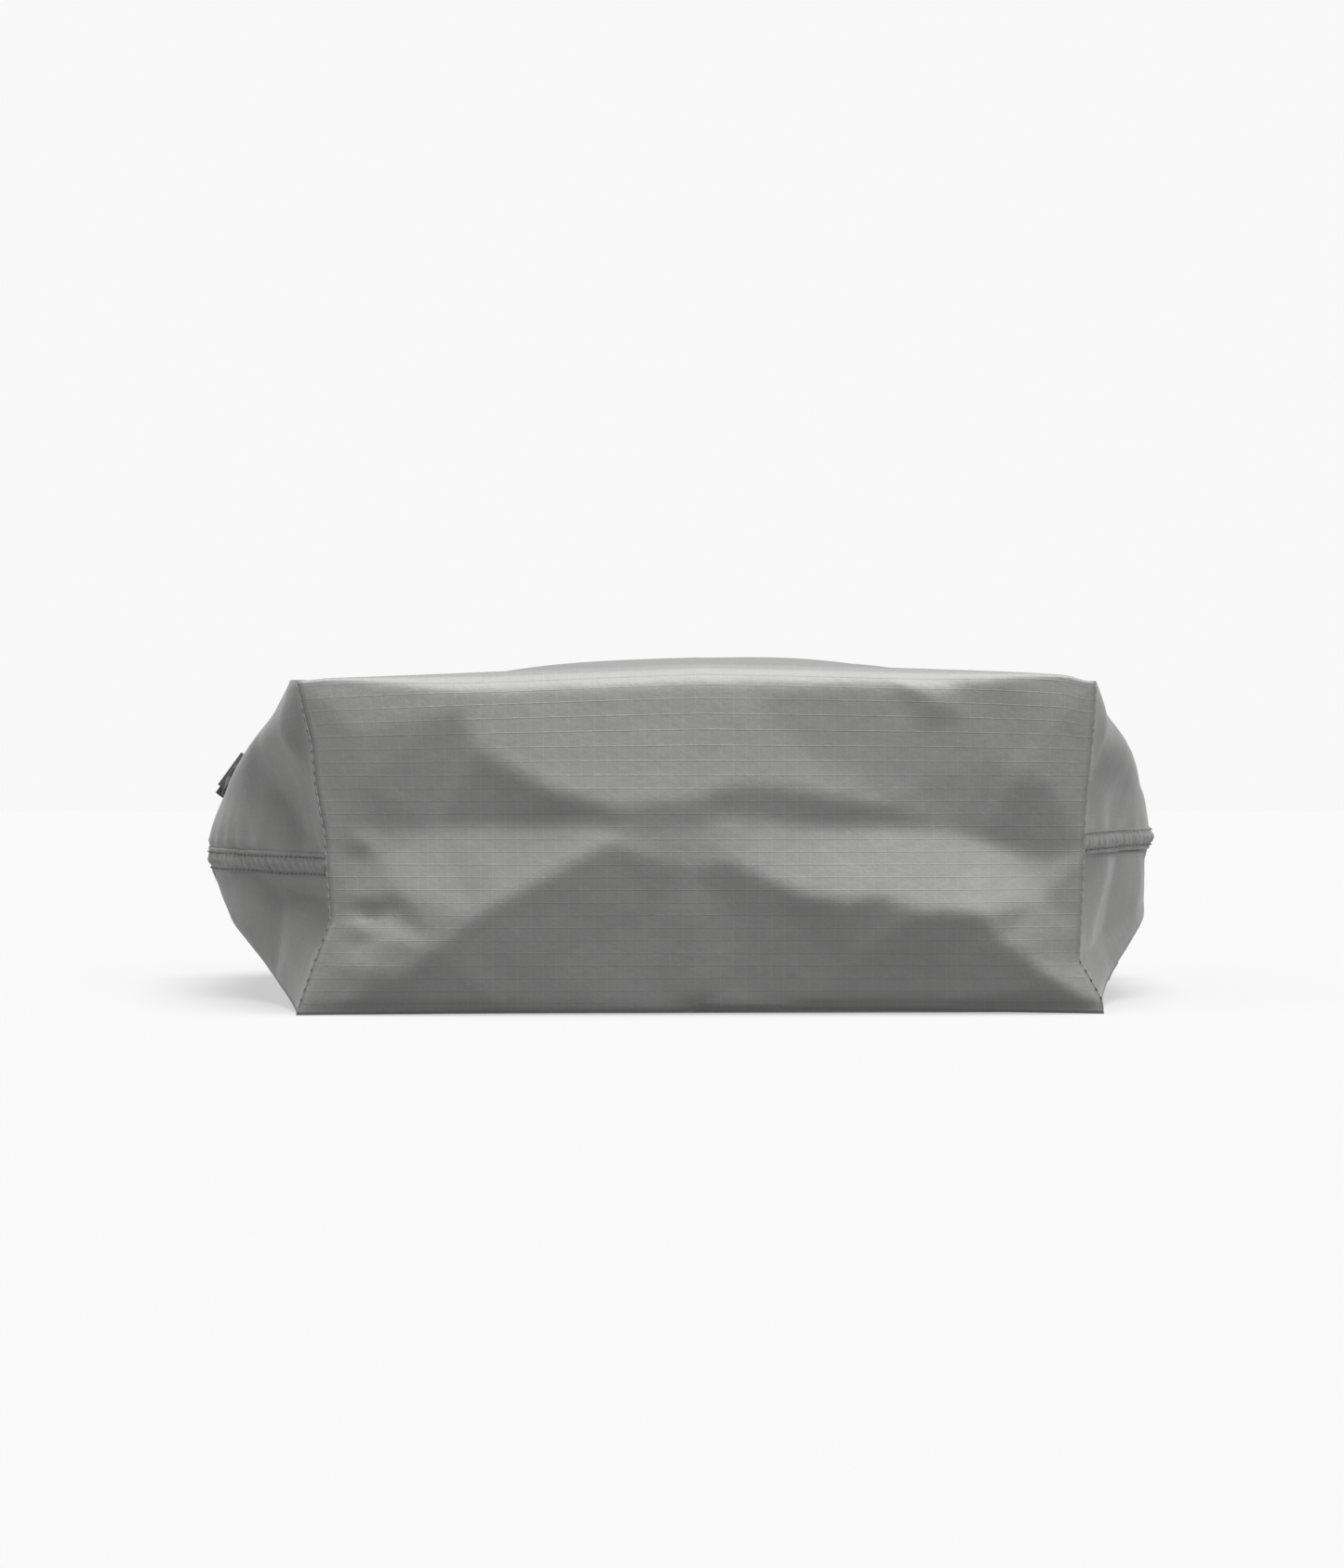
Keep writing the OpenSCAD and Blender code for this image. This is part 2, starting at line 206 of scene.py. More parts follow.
def tube(name: str, path: Array, radius: float, sides: int = 16) -> Piece:
    """A round tube: every point of the path carries a circle square to it.

    Its cloth coordinates are the way round, from 0 to 1, and the length along it in metres.

    Args:
        name: Name of the piece.
        path: Points of the path.
        radius: Radius of the tube.
        sides: Number of sides of the circle.

    Returns:
        The new object.
    """
    u, v = carried_frames(path)
    angle = np.linspace(0, 2 * math.pi, sides, endpoint=False)
    rows = path[:, None] + radius * (
        np.cos(angle)[None, :, None] * u[:, None] + np.sin(angle)[None, :, None] * v[:, None])
    run = np.r_[0, np.cumsum(np.linalg.norm(np.diff(path, axis=0), axis=1))]
    uv = np.stack(np.broadcast_arrays(angle[None] / (2 * math.pi), run[:, None]), -1)
    return lofted(name, rows, uv)


def stitches(name: str, path: Array, outward: Array, size: "StitchSize") -> Piece:
    """A row of lockstitches: humps of thread along a path, each dipping into the cloth at its ends.

    Args:
        name: Name of the piece.
        path: Closely spaced points on the cloth.
        outward: Direction out of the cloth at each point.
        size: Length, gap and thickness of the stitches.

    Returns:
        The new object, one mesh of separate stitches.
    """
    run = np.r_[0, np.cumsum(np.linalg.norm(np.diff(path, axis=0), axis=1))]
    count = int(run[-1] / size.pitch)
    t = np.linspace(0, 1, STITCH_ROWS)
    at = (np.arange(count)[:, None] + 0.5) * size.pitch + (t[None] - 0.5) * size.length
    place = np.stack([np.interp(at, run, path[:, k]) for k in range(3)], -1)
    out = unit(np.stack([np.interp(at, run, outward[:, k]) for k in range(3)], -1))
    along = unit(np.gradient(place, axis=1))
    side = unit(np.cross(along, out))
    lift = (np.sin(math.pi * t) - 0.25)[None, :, None] * size.thick * 0.8
    width = (0.35 + 0.65 * np.sin(math.pi * t) ** 0.6)[None, :, None, None] * size.thick / 2
    angle = np.linspace(0, 2 * math.pi, STITCH_SIDES, endpoint=False)[None, None, :, None]
    around = np.cos(angle) * side[:, :, None] + np.sin(angle) * out[:, :, None]
    rows = (place + out * lift)[:, :, None] + width * around
    one = grid_faces(STITCH_ROWS, STITCH_SIDES, True)
    size_of_one = STITCH_ROWS * STITCH_SIDES
    faces = (one[None] + (np.arange(count) * size_of_one)[:, None, None]).reshape(-1, 4).tolist()
    for first in range(0, count * size_of_one, size_of_one):
        last = first + size_of_one
        faces += [list(range(first, first + STITCH_SIDES))[::-1], list(range(last - STITCH_SIDES, last))]
    piece = make_piece(name, rows, faces)
    tidy_normals(piece, 1e-9)
    return piece


@dataclass(frozen=True)
class StitchSize:
    """Length, gap and thickness of one kind of stitch."""

    length: float = 2.5 * MM
    gap: float = 0.7 * MM
    thick: float = 0.55 * MM

    @property
    def pitch(self) -> float:
        """Length of a stitch with its gap."""
        return self.length + self.gap


# ---- Shader maths ----

class Wire:
    """A socket or a number of one material, on which +, -, * and / add Math nodes."""

    def __init__(self, tree: Tree, value: object) -> None:
        """Keeps the node tree and the socket or number."""
        self.tree = tree
        self.value = value

    def _math(self, operation: str, *values: object) -> "Wire":
        """A Math node of that operation on the given values.

        Args:
            operation: The node's operation.
            values: Wires, sockets or numbers for its inputs.

        Returns:
            Its first output.
        """
        node = self.tree.nodes.new("ShaderNodeMath")
        node.operation = operation
        for socket, value in zip(node.inputs, values):
            plug(self.tree, socket, value)
        return Wire(self.tree, node.outputs[0])

    def __add__(self, other: object) -> "Wire":
        """Sum."""
        return self._math("ADD", self, other)

    __radd__ = __add__

    def __sub__(self, other: object) -> "Wire":
        """Difference."""
        return self._math("SUBTRACT", self, other)

    def __rsub__(self, other: object) -> "Wire":
        """Difference with the wire on the right."""
        return self._math("SUBTRACT", other, self)

    def __mul__(self, other: object) -> "Wire":
        """Product."""
        return self._math("MULTIPLY", self, other)

    __rmul__ = __mul__

    def __truediv__(self, other: object) -> "Wire":
        """Quotient."""
        return self._math("DIVIDE", self, other)

    def fract(self) -> "Wire":
        """Part after the decimal point."""
        return self._math("FRACT", self)

    def size(self) -> "Wire":
        """Value without its sign."""
        return self._math("ABSOLUTE", self)

    def sine(self) -> "Wire":
        """Sine of the value in radians."""
        return self._math("SINE", self)

    def power(self, n: float) -> "Wire":
        """Value to the power of n."""
        return self._math("POWER", self, n)

    def most(self, other: object) -> "Wire":
        """The larger of two values."""
        return self._math("MAXIMUM", self, other)

    def step(self, low: float, high: float) -> "Wire":
        """A soft step from 0 at low to 1 at high.

        Args:
            low: Value at which the step starts.
            high: Value at which it ends.

        Returns:
            The step.
        """
        node = self.tree.nodes.new("ShaderNodeMapRange")
        node.interpolation_type = "SMOOTHSTEP"
        for key, value in (("Value", self), ("From Min", low), ("From Max", high)):
            plug(self.tree, node.inputs[key], value)
        return Wire(self.tree, node.outputs[0])


def plug(tree: Tree, socket: bpy.types.NodeSocket, value: object) -> None:
    """Links a wire or socket to a socket, or sets the socket's value.

    Args:
        tree: The node tree.
        socket: The socket to fill.
        value: Wire, socket, number, colour or vector.
    """
    value = value.value if isinstance(value, Wire) else value
    if isinstance(value, bpy.types.NodeSocket):
        tree.links.new(value, socket)
    else:
        socket.default_value = value


class Paint:
    """One material under construction, with a method that adds any node."""

    def __init__(self, name: str) -> None:
        """Starts an empty node material of that name.

        Args:
            name: Name of the material.
        """
        self.material = bpy.data.materials.new(name)
        self.material.use_nodes = True
        self.tree = self.material.node_tree
        self.tree.nodes.clear()

    def node(self, kind: str, settings: dict | None = None, **values: object) -> bpy.types.Node:
        """Adds a node.

        Args:
            kind: The node's type, without its ShaderNode prefix.
            settings: Attributes to set first; a list under stops fills a ramp.
            values: Values or links by socket name, with _ for a space.

        Returns:
            The node.
        """
        made = self.tree.nodes.new("ShaderNode" + kind)
        for key, value in (settings or {}).items():
            setattr(made, key, value)
        for key, value in values.items():
            plug(self.tree, made.inputs[key.replace("_", " ")], value)
        return made

    def wire(self, node: bpy.types.Node, output: str | int = 0) -> Wire:
        """One output of a node as a wire."""
        return Wire(self.tree, node.outputs[output])

    def noise(self, scale: float, detail: float = 3.0, roughness: float = 0.55) -> Wire:
        """Noise with about scale waves a metre, from 0 to 1."""
        place = self.wire(self.node("TexCoord"), "Object")
        return self.wire(self.node("TexNoise", None, Vector=place, Scale=scale, Detail=detail,
                                   Roughness=roughness))

    def cloth_axes(self) -> tuple[Wire, Wire]:
        """The two cloth coordinates of the piece, in metres."""
        parts = self.node("SeparateXYZ", None, Vector=self.node("UVMap", {"uv_map": "cloth"}).outputs[0])
        return self.wire(parts, "X"), self.wire(parts, "Y")

    def blend(self, factor: object, first: object, second: object) -> Wire:
        """A colour that goes from first to second with the factor.

        Args:
            factor: 0 for the first colour, 1 for the second.
            first: Colour, as a wire or three numbers.
            second: The other colour.

        Returns:
            The mixed colour.
        """
        made = self.tree.nodes.new("ShaderNodeMix")
        made.data_type = "RGBA"
        plug(self.tree, made.inputs[0], factor)
        for socket, value in ((made.inputs[6], first), (made.inputs[7], second)):
            plug(self.tree, socket, (*value, 1.0) if isinstance(value, tuple) else value)
        return Wire(self.tree, made.outputs[2])

    def relief(self, height: Wire, distance: float, strength: float = 1.0) -> bpy.types.Node:
        """A Bump node of that height, in metres at height 1."""
        return self.node("Bump", None, Height=height, Distance=distance, Strength=strength)

    def finish(self, colour: object, roughness: object, normal: bpy.types.Node | None = None,
               **fixed: object) -> Material:
        """Ends the material in one Principled shader.

        Args:
            colour: Base colour, a wire or three numbers.
            roughness: Roughness, a wire or a number.
            normal: Bump node, if any.
            fixed: Other sockets by name, with _ for a space, each one number or colour.

        Returns:
            The material.
        """
        shader = self.node("BsdfPrincipled")
        plug(self.tree, shader.inputs["Base Color"], (*colour, 1.0) if isinstance(colour, tuple) else colour)
        plug(self.tree, shader.inputs["Roughness"], roughness)
        if normal is not None:
            plug(self.tree, shader.inputs["Normal"], normal.outputs[0])
        for key, value in fixed.items():
            plug(self.tree, shader.inputs[key.replace("_", " ")], value)
        out = self.node("OutputMaterial")
        self.tree.links.new(shader.outputs[0], out.inputs[0])
        return self.material


# ---- Finishes ----

Colour = tuple[float, float, float]


@dataclass(frozen=True)
class Ripstop:
    """Light nylon cloth with a square grid of thicker threads and a soft sheen."""

    name: str = "ripstop_nylon"
    ground: Colour = (0.206, 0.205, 0.203)
    # Painted shadow: the dark line that each weft rib throws under light from above.
    rib_shadow: Colour = (0.165, 0.164, 0.163)
    pale_rib: Colour = (0.285, 0.284, 0.283)
    rib_share: float = 0.05
    # Strength of the weft ribs' painted shadow line.
    weft_shadow_tint: float = 0.45
    warp_tint: float = 0.18
    weft_rise: float = 0.06
    warp_rise: float = 0.02
    weave_rise: float = 0.05
    crumple_rise: float = 0.8
    relief: float = 0.9 * MM
    roughness: float = 0.46

    def material(self) -> Material:
        """The cloth: ribs along both threads, each weft rib darkened by a painted shadow line, fine crumples
        and a little cloudiness.

        Returns:
            The material.
        """
        p = Paint(self.name)
        across, along = p.cloth_axes()
        weft = (along / RIPSTOP_PITCH).fract() - 0.5
        warp = (across / RIPSTOP_PITCH).fract() - 0.5
        # The weft mask places both the rib's relief and its painted shadow line.
        weft_rib_and_shadow = 1.0 - weft.size().step(self.rib_share * 0.5, self.rib_share)
        warp_rib = 1.0 - warp.size().step(self.rib_share * 0.5, self.rib_share)
        cloud = p.noise(9.0, 3.0)
        weave = p.noise(2600.0, 1.0)
        crumple = p.noise(55.0, 4.0, 0.6)
        shaded = p.blend(cloud * 0.5, self.ground, tuple(0.88 * c for c in self.ground))
        ribbed = p.blend(warp_rib * self.warp_tint, shaded, self.pale_rib)
        # Painted shade: the weft ribs are darkened in colour as the thin shadow line that each rib casts
        # under light from above.
        colour = p.blend(weft_rib_and_shadow * self.weft_shadow_tint, ribbed, self.rib_shadow)
        height = (weft_rib_and_shadow * self.weft_rise + warp_rib * self.warp_rise
                  + weave * self.weave_rise + crumple * self.crumple_rise)
        return p.finish(colour, self.roughness + weave * 0.08, p.relief(height, self.relief),
                        Sheen_Weight=0.18, Sheen_Roughness=0.4, Specular_IOR_Level=0.45)


@dataclass(frozen=True)
class PlainCloth:
    """Cloth or tape with a fine weave along its own cloth coordinates or the object's axes."""

    name: str
    ground: Colour
    dark: Colour
    threads: float = 1400.0
    roughness: float = 0.7
    relief: float = 0.15 * MM

    def material(self) -> Material:
        """The tape: crossing threads as two sines, with uneven colour.

        Returns:
            The material.
        """
        p = Paint(self.name)
        parts = p.node("SeparateXYZ", None, Vector=p.node("TexCoord").outputs["Object"])
        x, y, z = (p.wire(parts, k) for k in "XYZ")
        cross = ((x + z) * self.threads * 2.0).sine() * ((y + z * 0.3) * self.threads * 2.0).sine()
        fuzz = p.noise(900.0, 2.0)
        colour = p.blend((cross * 0.5 + 0.5) * 0.6 + fuzz * 0.3, self.dark, self.ground)
        return p.finish(colour, self.roughness, p.relief(cross * 0.5 + fuzz, self.relief),
                        Sheen_Weight=0.25, Specular_IOR_Level=0.35)


@dataclass(frozen=True)
class Braid:
    """Round braided cord, patterned by its own way round and length."""

    name: str = "braided_cord"
    ground: Colour = (0.075, 0.075, 0.078)
    dark: Colour = (0.018, 0.018, 0.019)
    strands: int = 8
    lay: float = 7.0 * MM

    def material(self) -> Material:
        """The braid: two families of strands that wind opposite ways and cross over and under.

        Returns:
            The material.
        """
        p = Paint(self.name)
        around, along = p.cloth_axes()
        turn = around * float(self.strands)
        advance = along * (self.strands / self.lay)
        one = ((turn + advance).fract() - 0.5).size()
        two = ((turn - advance).fract() - 0.5).size()
        strand = 1.0 - one.most(two) * 2.0
        fuzz = p.noise(2500.0, 2.0)
        colour = p.blend(strand.step(0.0, 0.5), self.dark, self.ground)
        return p.finish(colour, 0.62, p.relief(strand.step(0.0, 0.8) + fuzz * 0.2, 0.3 * MM),
                        Sheen_Weight=0.3, Specular_IOR_Level=0.4)


@dataclass(frozen=True)
class Moulded:
    """Fine-grained moulded plastic."""

    name: str
    ground: Colour
    roughness: float = 0.42

    def material(self) -> Material:
        """The plastic: spark-eroded grain with faint handling wear.

        Returns:
            The material.
        """
        p = Paint(self.name)
        grain = p.noise(3800.0, 2.0)
        wear = p.noise(240.0, 3.0).step(0.55, 0.8)
        colour = p.blend(wear * 0.35, self.ground, tuple(min(1.0, 1.8 * c + 0.01) for c in self.ground))
        return p.finish(colour, self.roughness + wear * 0.12, p.relief(grain, 0.05 * MM),
                        Specular_IOR_Level=0.5)


@dataclass(frozen=True)
class Metal:
    """Plated or drawn metal with fine scratches."""

    name: str
    ground: Colour
    roughness: float = 0.3

    def material(self) -> Material:
        """The metal: brushed noise in its roughness and a slight stain in its colour.

        Returns:
            The material.
        """
        p = Paint(self.name)
        scratch = p.noise(1800.0, 4.0, 0.7)
        stain = p.noise(160.0, 2.0)
        colour = p.blend(stain * 0.5, self.ground, tuple(0.6 * c for c in self.ground))
        return p.finish(colour, self.roughness + scratch * 0.2, p.relief(scratch, 0.02 * MM), Metallic=1.0)


@dataclass(frozen=True)
class Backdrop:
    """Plain pale floor."""

    name: str = "studio_floor"
    ground: Colour = (0.16, 0.16, 0.16)
    glow: Colour = (0.545, 0.545, 0.545)
    bounce: float = 0.875

    def material(self) -> Material:
        """The floor: even, softly lit from below, so that shadows stay faint and little light is thrown up.

        Returns:
            The material.
        """
        p = Paint(self.name)
        cloud = p.noise(3.0, 2.0)
        card = p.blend(cloud * 0.1, self.ground, tuple(0.98 * c for c in self.ground))
        bounced = p.wire(p.node("LightPath"), "Is Diffuse Ray")
        made = p.finish(p.blend(bounced, card, tuple(self.bounce * c for c in self.ground)), 0.8,
                        Emission_Color=p.blend(bounced, self.glow, (0.0, 0.0, 0.0)), Emission_Strength=1.0)
        made.cycles.emission_sampling = "NONE"
        return made


class Finish(Enum):
    """Every finish of the bag, by the name of its slot in the record."""

    CLOTH = "cloth"
    SEAM = "seam_cloth"
    THREAD = "thread"
    BINDING = "binding"
    EYELET = "eyelet_metal"
    CORD = "cord"
    LOCK = "lock_plastic"
    BUTTON = "button_plastic"
    SPRING = "spring_steel"
    WEBBING = "webbing"
    LABEL = "label"


@dataclass
class Palette:
    """Makes each finish once and dresses pieces with it."""

    made: dict = field(default_factory=dict)

    def recipe(self, finish: Finish) -> object:
        """The finish's own class with its colours.

        Args:
            finish: The finish.

        Returns:
            An object with a material method.
        """
        return {
            Finish.CLOTH: Ripstop(),
            # Painted highlight: the seams' cloth is the same nylon made a shade lighter, for the fold edges
            # of the seams catching the light.
            Finish.SEAM: Ripstop(name="ripstop_seam_lit", ground=(0.215, 0.214, 0.212)),
            Finish.THREAD: PlainCloth("sewing_thread", (0.15, 0.15, 0.15), (0.075, 0.075, 0.075), 4000.0),
            Finish.BINDING: PlainCloth("binding_tape", (0.12, 0.12, 0.122), (0.06, 0.06, 0.06)),
            Finish.EYELET: Metal("gunmetal_plating", (0.20, 0.20, 0.21)),
            Finish.CORD: Braid(),
            Finish.LOCK: Moulded("lock_plastic", (0.042, 0.042, 0.046)),
            # Painted shade: the button is made near black, darker than the lock body, for the lock's black
            # lower end, which is the button's underside in shadow.
            Finish.BUTTON: Moulded("button_plastic", (0.014, 0.014, 0.016), 0.36),
            Finish.SPRING: Metal("spring_wire", (0.55, 0.55, 0.55), 0.22),
            Finish.WEBBING: PlainCloth("woven_webbing", (0.13, 0.13, 0.132), (0.05, 0.05, 0.05),
                                       1100.0, 0.75, 0.3 * MM),
            Finish.LABEL: PlainCloth("label_satin", (0.82, 0.82, 0.80), (0.70, 0.70, 0.68),
                                     2600.0, 0.5, 0.05 * MM),
        }[finish]

    def dress(self, piece: Piece, finish: Finish) -> Piece:
        """Gives a piece its finish's material.

        Args:
            piece: The piece.
            finish: The finish.

        Returns:
            The same piece.
        """
        if finish not in self.made:
            self.made[finish] = self.recipe(finish).material()
        piece.data.materials.clear()
        piece.data.materials.append(self.made[finish])
        return piece

    def redress(self, piece: Piece, finish: Finish) -> None:
        """Puts a finish's material into a CAD node's own material slots.

        Args:
            piece: The piece.
            finish: The finish.
        """
        if finish not in self.made:
            self.made[finish] = self.recipe(finish).material()
        for material_slot in piece.material_slots:
            material_slot.material = self.made[finish]

    def settle(self, piece: Piece, finish: Finish, body: str, *nodes: str) -> Piece:
        """Dresses a new piece, the body it rides on and the CAD nodes it stands for.

        Args:
            piece: The piece.
            finish: The finish.
            body: Name of the body it rides on.
            nodes: CAD nodes that it stands for.

        Returns:
            The same piece.
        """
        self.dress(piece, finish)
        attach(piece, body)
        if nodes:
            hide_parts(*nodes)
        LOG.info("%s: %d faces, rides on %s", piece.name, len(piece.data.polygons), body)
        return piece


# ---- The shape of the bag ----

@dataclass(frozen=True)
class FoldNet:
    """Folded cloth as flat facets between named points, each with its height.

    Triangles join the points, the height is linear over each triangle, and the creases are softened
    by taking the mean over a small round neighbourhood.
    """

    points: tuple[tuple[float, float, float], ...]
    softness: float = 3.0 * MM
    scale: float = 1.0

    def facets(self) -> list:
        """Corner numbers of the triangles between the points."""
        flat = [Vector((p[0], p[1])) for p in self.points]
        return delaunay_2d_cdt(flat, [], [], 0, 1e-4)[2]

    def height(self, u: Array, v: Array) -> Array:
        """Softened height at places u, v, in metres.

        Args:
            u: First coordinates, in millimetres.
            v: Second coordinates, in millimetres.

        Returns:
            Heights, zero outside the net.
        """
        facets = self.facets()
        total = np.zeros_like(u)
        soft = self.softness / MM
        offsets = [(0.0, 0.0, 2.0)] + [
            (r * soft * math.cos(a), r * soft * math.sin(a), 1.0)
            for r in (0.5, 1.0) for a in np.arange(6) * math.pi / 3 + r]
        for du, dv, weight in offsets:
            total += weight * self._sharp(facets, u + du, v + dv)
        return total / sum(o[2] for o in offsets) * MM * self.scale

    def _sharp(self, facets: list, u: Array, v: Array) -> Array:
        """Unsoftened height, by the shares of each triangle's corners.

        Args:
            facets: Corner numbers of the triangles.
            u: First coordinates, in millimetres.
            v: Second coordinates, in millimetres.

        Returns:
            Heights, zero outside the triangles.
        """
        made = np.zeros_like(u)
        for a, b, c in facets:
            (x0, y0, h0), (x1, y1, h1), (x2, y2, h2) = (self.points[k] for k in (a, b, c))
            area = (x1 - x0) * (y2 - y0) - (x2 - x0) * (y1 - y0)
            if abs(area) < 1e-9:
                continue
            s = ((u - x0) * (y2 - y0) - (x2 - x0) * (v - y0)) / area
            t = ((x1 - x0) * (v - y0) - (u - x0) * (y1 - y0)) / area
            inside = (s >= 0) & (t >= 0) & (s + t <= 1)
            made[inside] = (h0 + s * (h1 - h0) + t * (h2 - h0))[inside]
        return made


# Folds of the base: across, up and out of it, in millimetres from the middle of its lower edge.
BASE_FOLDS = FoldNet((
    # Edges, and the pillowed stretches beside the end seams.
    (-160, 0, 0), (-115, 0, 0), (-75, 0, 0), (-38, 0, 0), (-4, 0, 0), (40, 0, 0), (90, 0, 0), (160, 0, 0),
    (-160, 132, 0), (-106, 132, 0), (-40, 132, 0), (14, 132, 0), (70, 132, 0), (120, 132, 0), (160, 132, 0),
    (-160, 66, 0), (-160, 35, 0), (-160, 100, 0), (160, 66, 0), (160, 35, 0), (160, 100, 0),
    (-141, 112, 2.4), (-141, 92, 2.0), (142, 112, 1.6), (142, 92, 2.0), (143, 45, 2.0),
    # Upper left ridge, which runs down to the middle and on to the right.
    (-104, 127, 0.6), (-96, 118, 2.0), (-88, 104, 4.2), (-73, 96, 5.6), (-58, 88, 7.2), (-36, 82, 8.2),
    (-16, 84, 8.0), (-3, 85, 7.4), (11, 90, 6.4), (26, 90, 5.2), (41, 88, 4.4), (56, 85, 3.7), (72, 82, 2.6),
    # Upper right edge of the sloping stretch, and the flatter cloth beyond it.
    (24, 118, 1.6), (34, 108, 2.0), (46, 101, 2.0), (62, 96, 1.9), (86, 92, 1.5), (60, 116, 1.1),
    (86, 112, 1.0), (94, 119, 2.3), (103, 126, 0.4), (108, 113, 1.1), (122, 100, 1.2), (128, 94, 2.2),
    # Valley across the base.
    (-148, 75, 0.6), (-136, 73, -0.8), (-106, 74, -1.2), (-77, 75, 1.2), (-56, 76, 4.2), (-44, 76, 6.0),
    (-30, 74, 7.4), (-14, 74, 7.0), (0, 75, 6.2), (12, 79, 5.0), (26, 77, 3.4), (42, 75, 2.2), (70, 75, 1.4),
    (99, 73, 0.6), (114, 69, -0.8), (129, 65, -2.0), (144, 61, -1.6),
    # Lower left ridge, down to the corner.
    (-38, 67, 8.6), (-48, 62, 8.8), (-62, 54, 8.4), (-77, 46, 7.6), (-91, 38, 7.0),
    (-106, 27, 6.2), (-121, 16, 4.6), (-140, 5, 1.6),
    # Pucker beside the left end seam.
    (-151, 46, 0.8), (-141, 46, 1.8), (-127, 48, 3.4), (-151, 41, 0.0), (-143, 39, -0.4), (-132, 41, 1.4),
    (-154, 36, 1.2), (-146, 34, 2.2), (-138, 34, 2.6), (-152, 31, 0.8), (-143, 29, 1.6), (-133, 30, 4.0),
    (-148, 20, 2.2), (-134, 18, 4.4),
    # Smaller pucker above it.
    (-152, 72, 0.4), (-147, 69, 1.1), (-140, 66, 0.6), (-145, 63, -0.6), (-151, 63, -0.2), (-136, 61, 0.6),
    # Lower right ridge and its spur.
    (12, 60, 7.4), (26, 53, 8.2), (41, 47, 8.8), (56, 45, 9.4), (70, 47, 8.8), (86, 41, 9.6), (101, 41, 9.2),
    (114, 40, 8.4), (122, 29, 6.8), (131, 26, 6.4), (144, 14, 4.4), (20, 36, 4.6), (34, 38, 5.6),
    # Upright crease below the middle.
    (-5, 58, 7.4), (-5, 40, 5.8), (-4, 12, 2.2), (-20, 40, 4.6), (-20, 12, 1.2), (12, 40, 3.9), (12, 13, 0.9),
    (56, 18, 3.6), (100, 16, 3.2), (-60, 18, 2.8),
), 1.6 * MM, 1.3)

# Folds of the end gussets: up from the side seam and back from the base, in millimetres.
LEFT_FOLDS = FoldNet((
    (-66, 0, 0), (66, 0, 0), (0, 0, 0), (-66, 60, 0), (66, 60, 0), (-66, 150, 0), (66, 150, 0), (0, 170, 0),
    (-40, 0, 0), (40, 0, 0), (-45, 40, 5.0), (-22, 30, -4.0), (-20, 70, -3.0), (-50, 90, 3.0), (-4, 60, 2.5),
    (0, 25, 1.0), (12, 45, -1.5), (30, 30, 2.5), (40, 70, -1.0), (25, 95, 2.0), (0, 110, 1.0),
), 5.0 * MM)
RIGHT_FOLDS = FoldNet((
    (-66, 0, 0), (66, 0, 0), (0, 0, 0), (-66, 60, 0), (66, 60, 0), (-66, 150, 0), (66, 150, 0), (0, 170, 0),
    (-40, 0, 0), (40, 0, 0), (-40, 35, 4.0), (-14, 30, -3.0), (-10, 60, 3.0), (-24, 75, -3.0), (-48, 95, 2.5),
    (2, 30, 1.5), (16, 50, 2.5), (32, 35, -1.0), (44, 70, 2.0), (20, 95, -1.0), (0, 110, 1.5),
    (-22, 140, -4.0), (-42, 145, -3.5),
), 5.0 * MM)


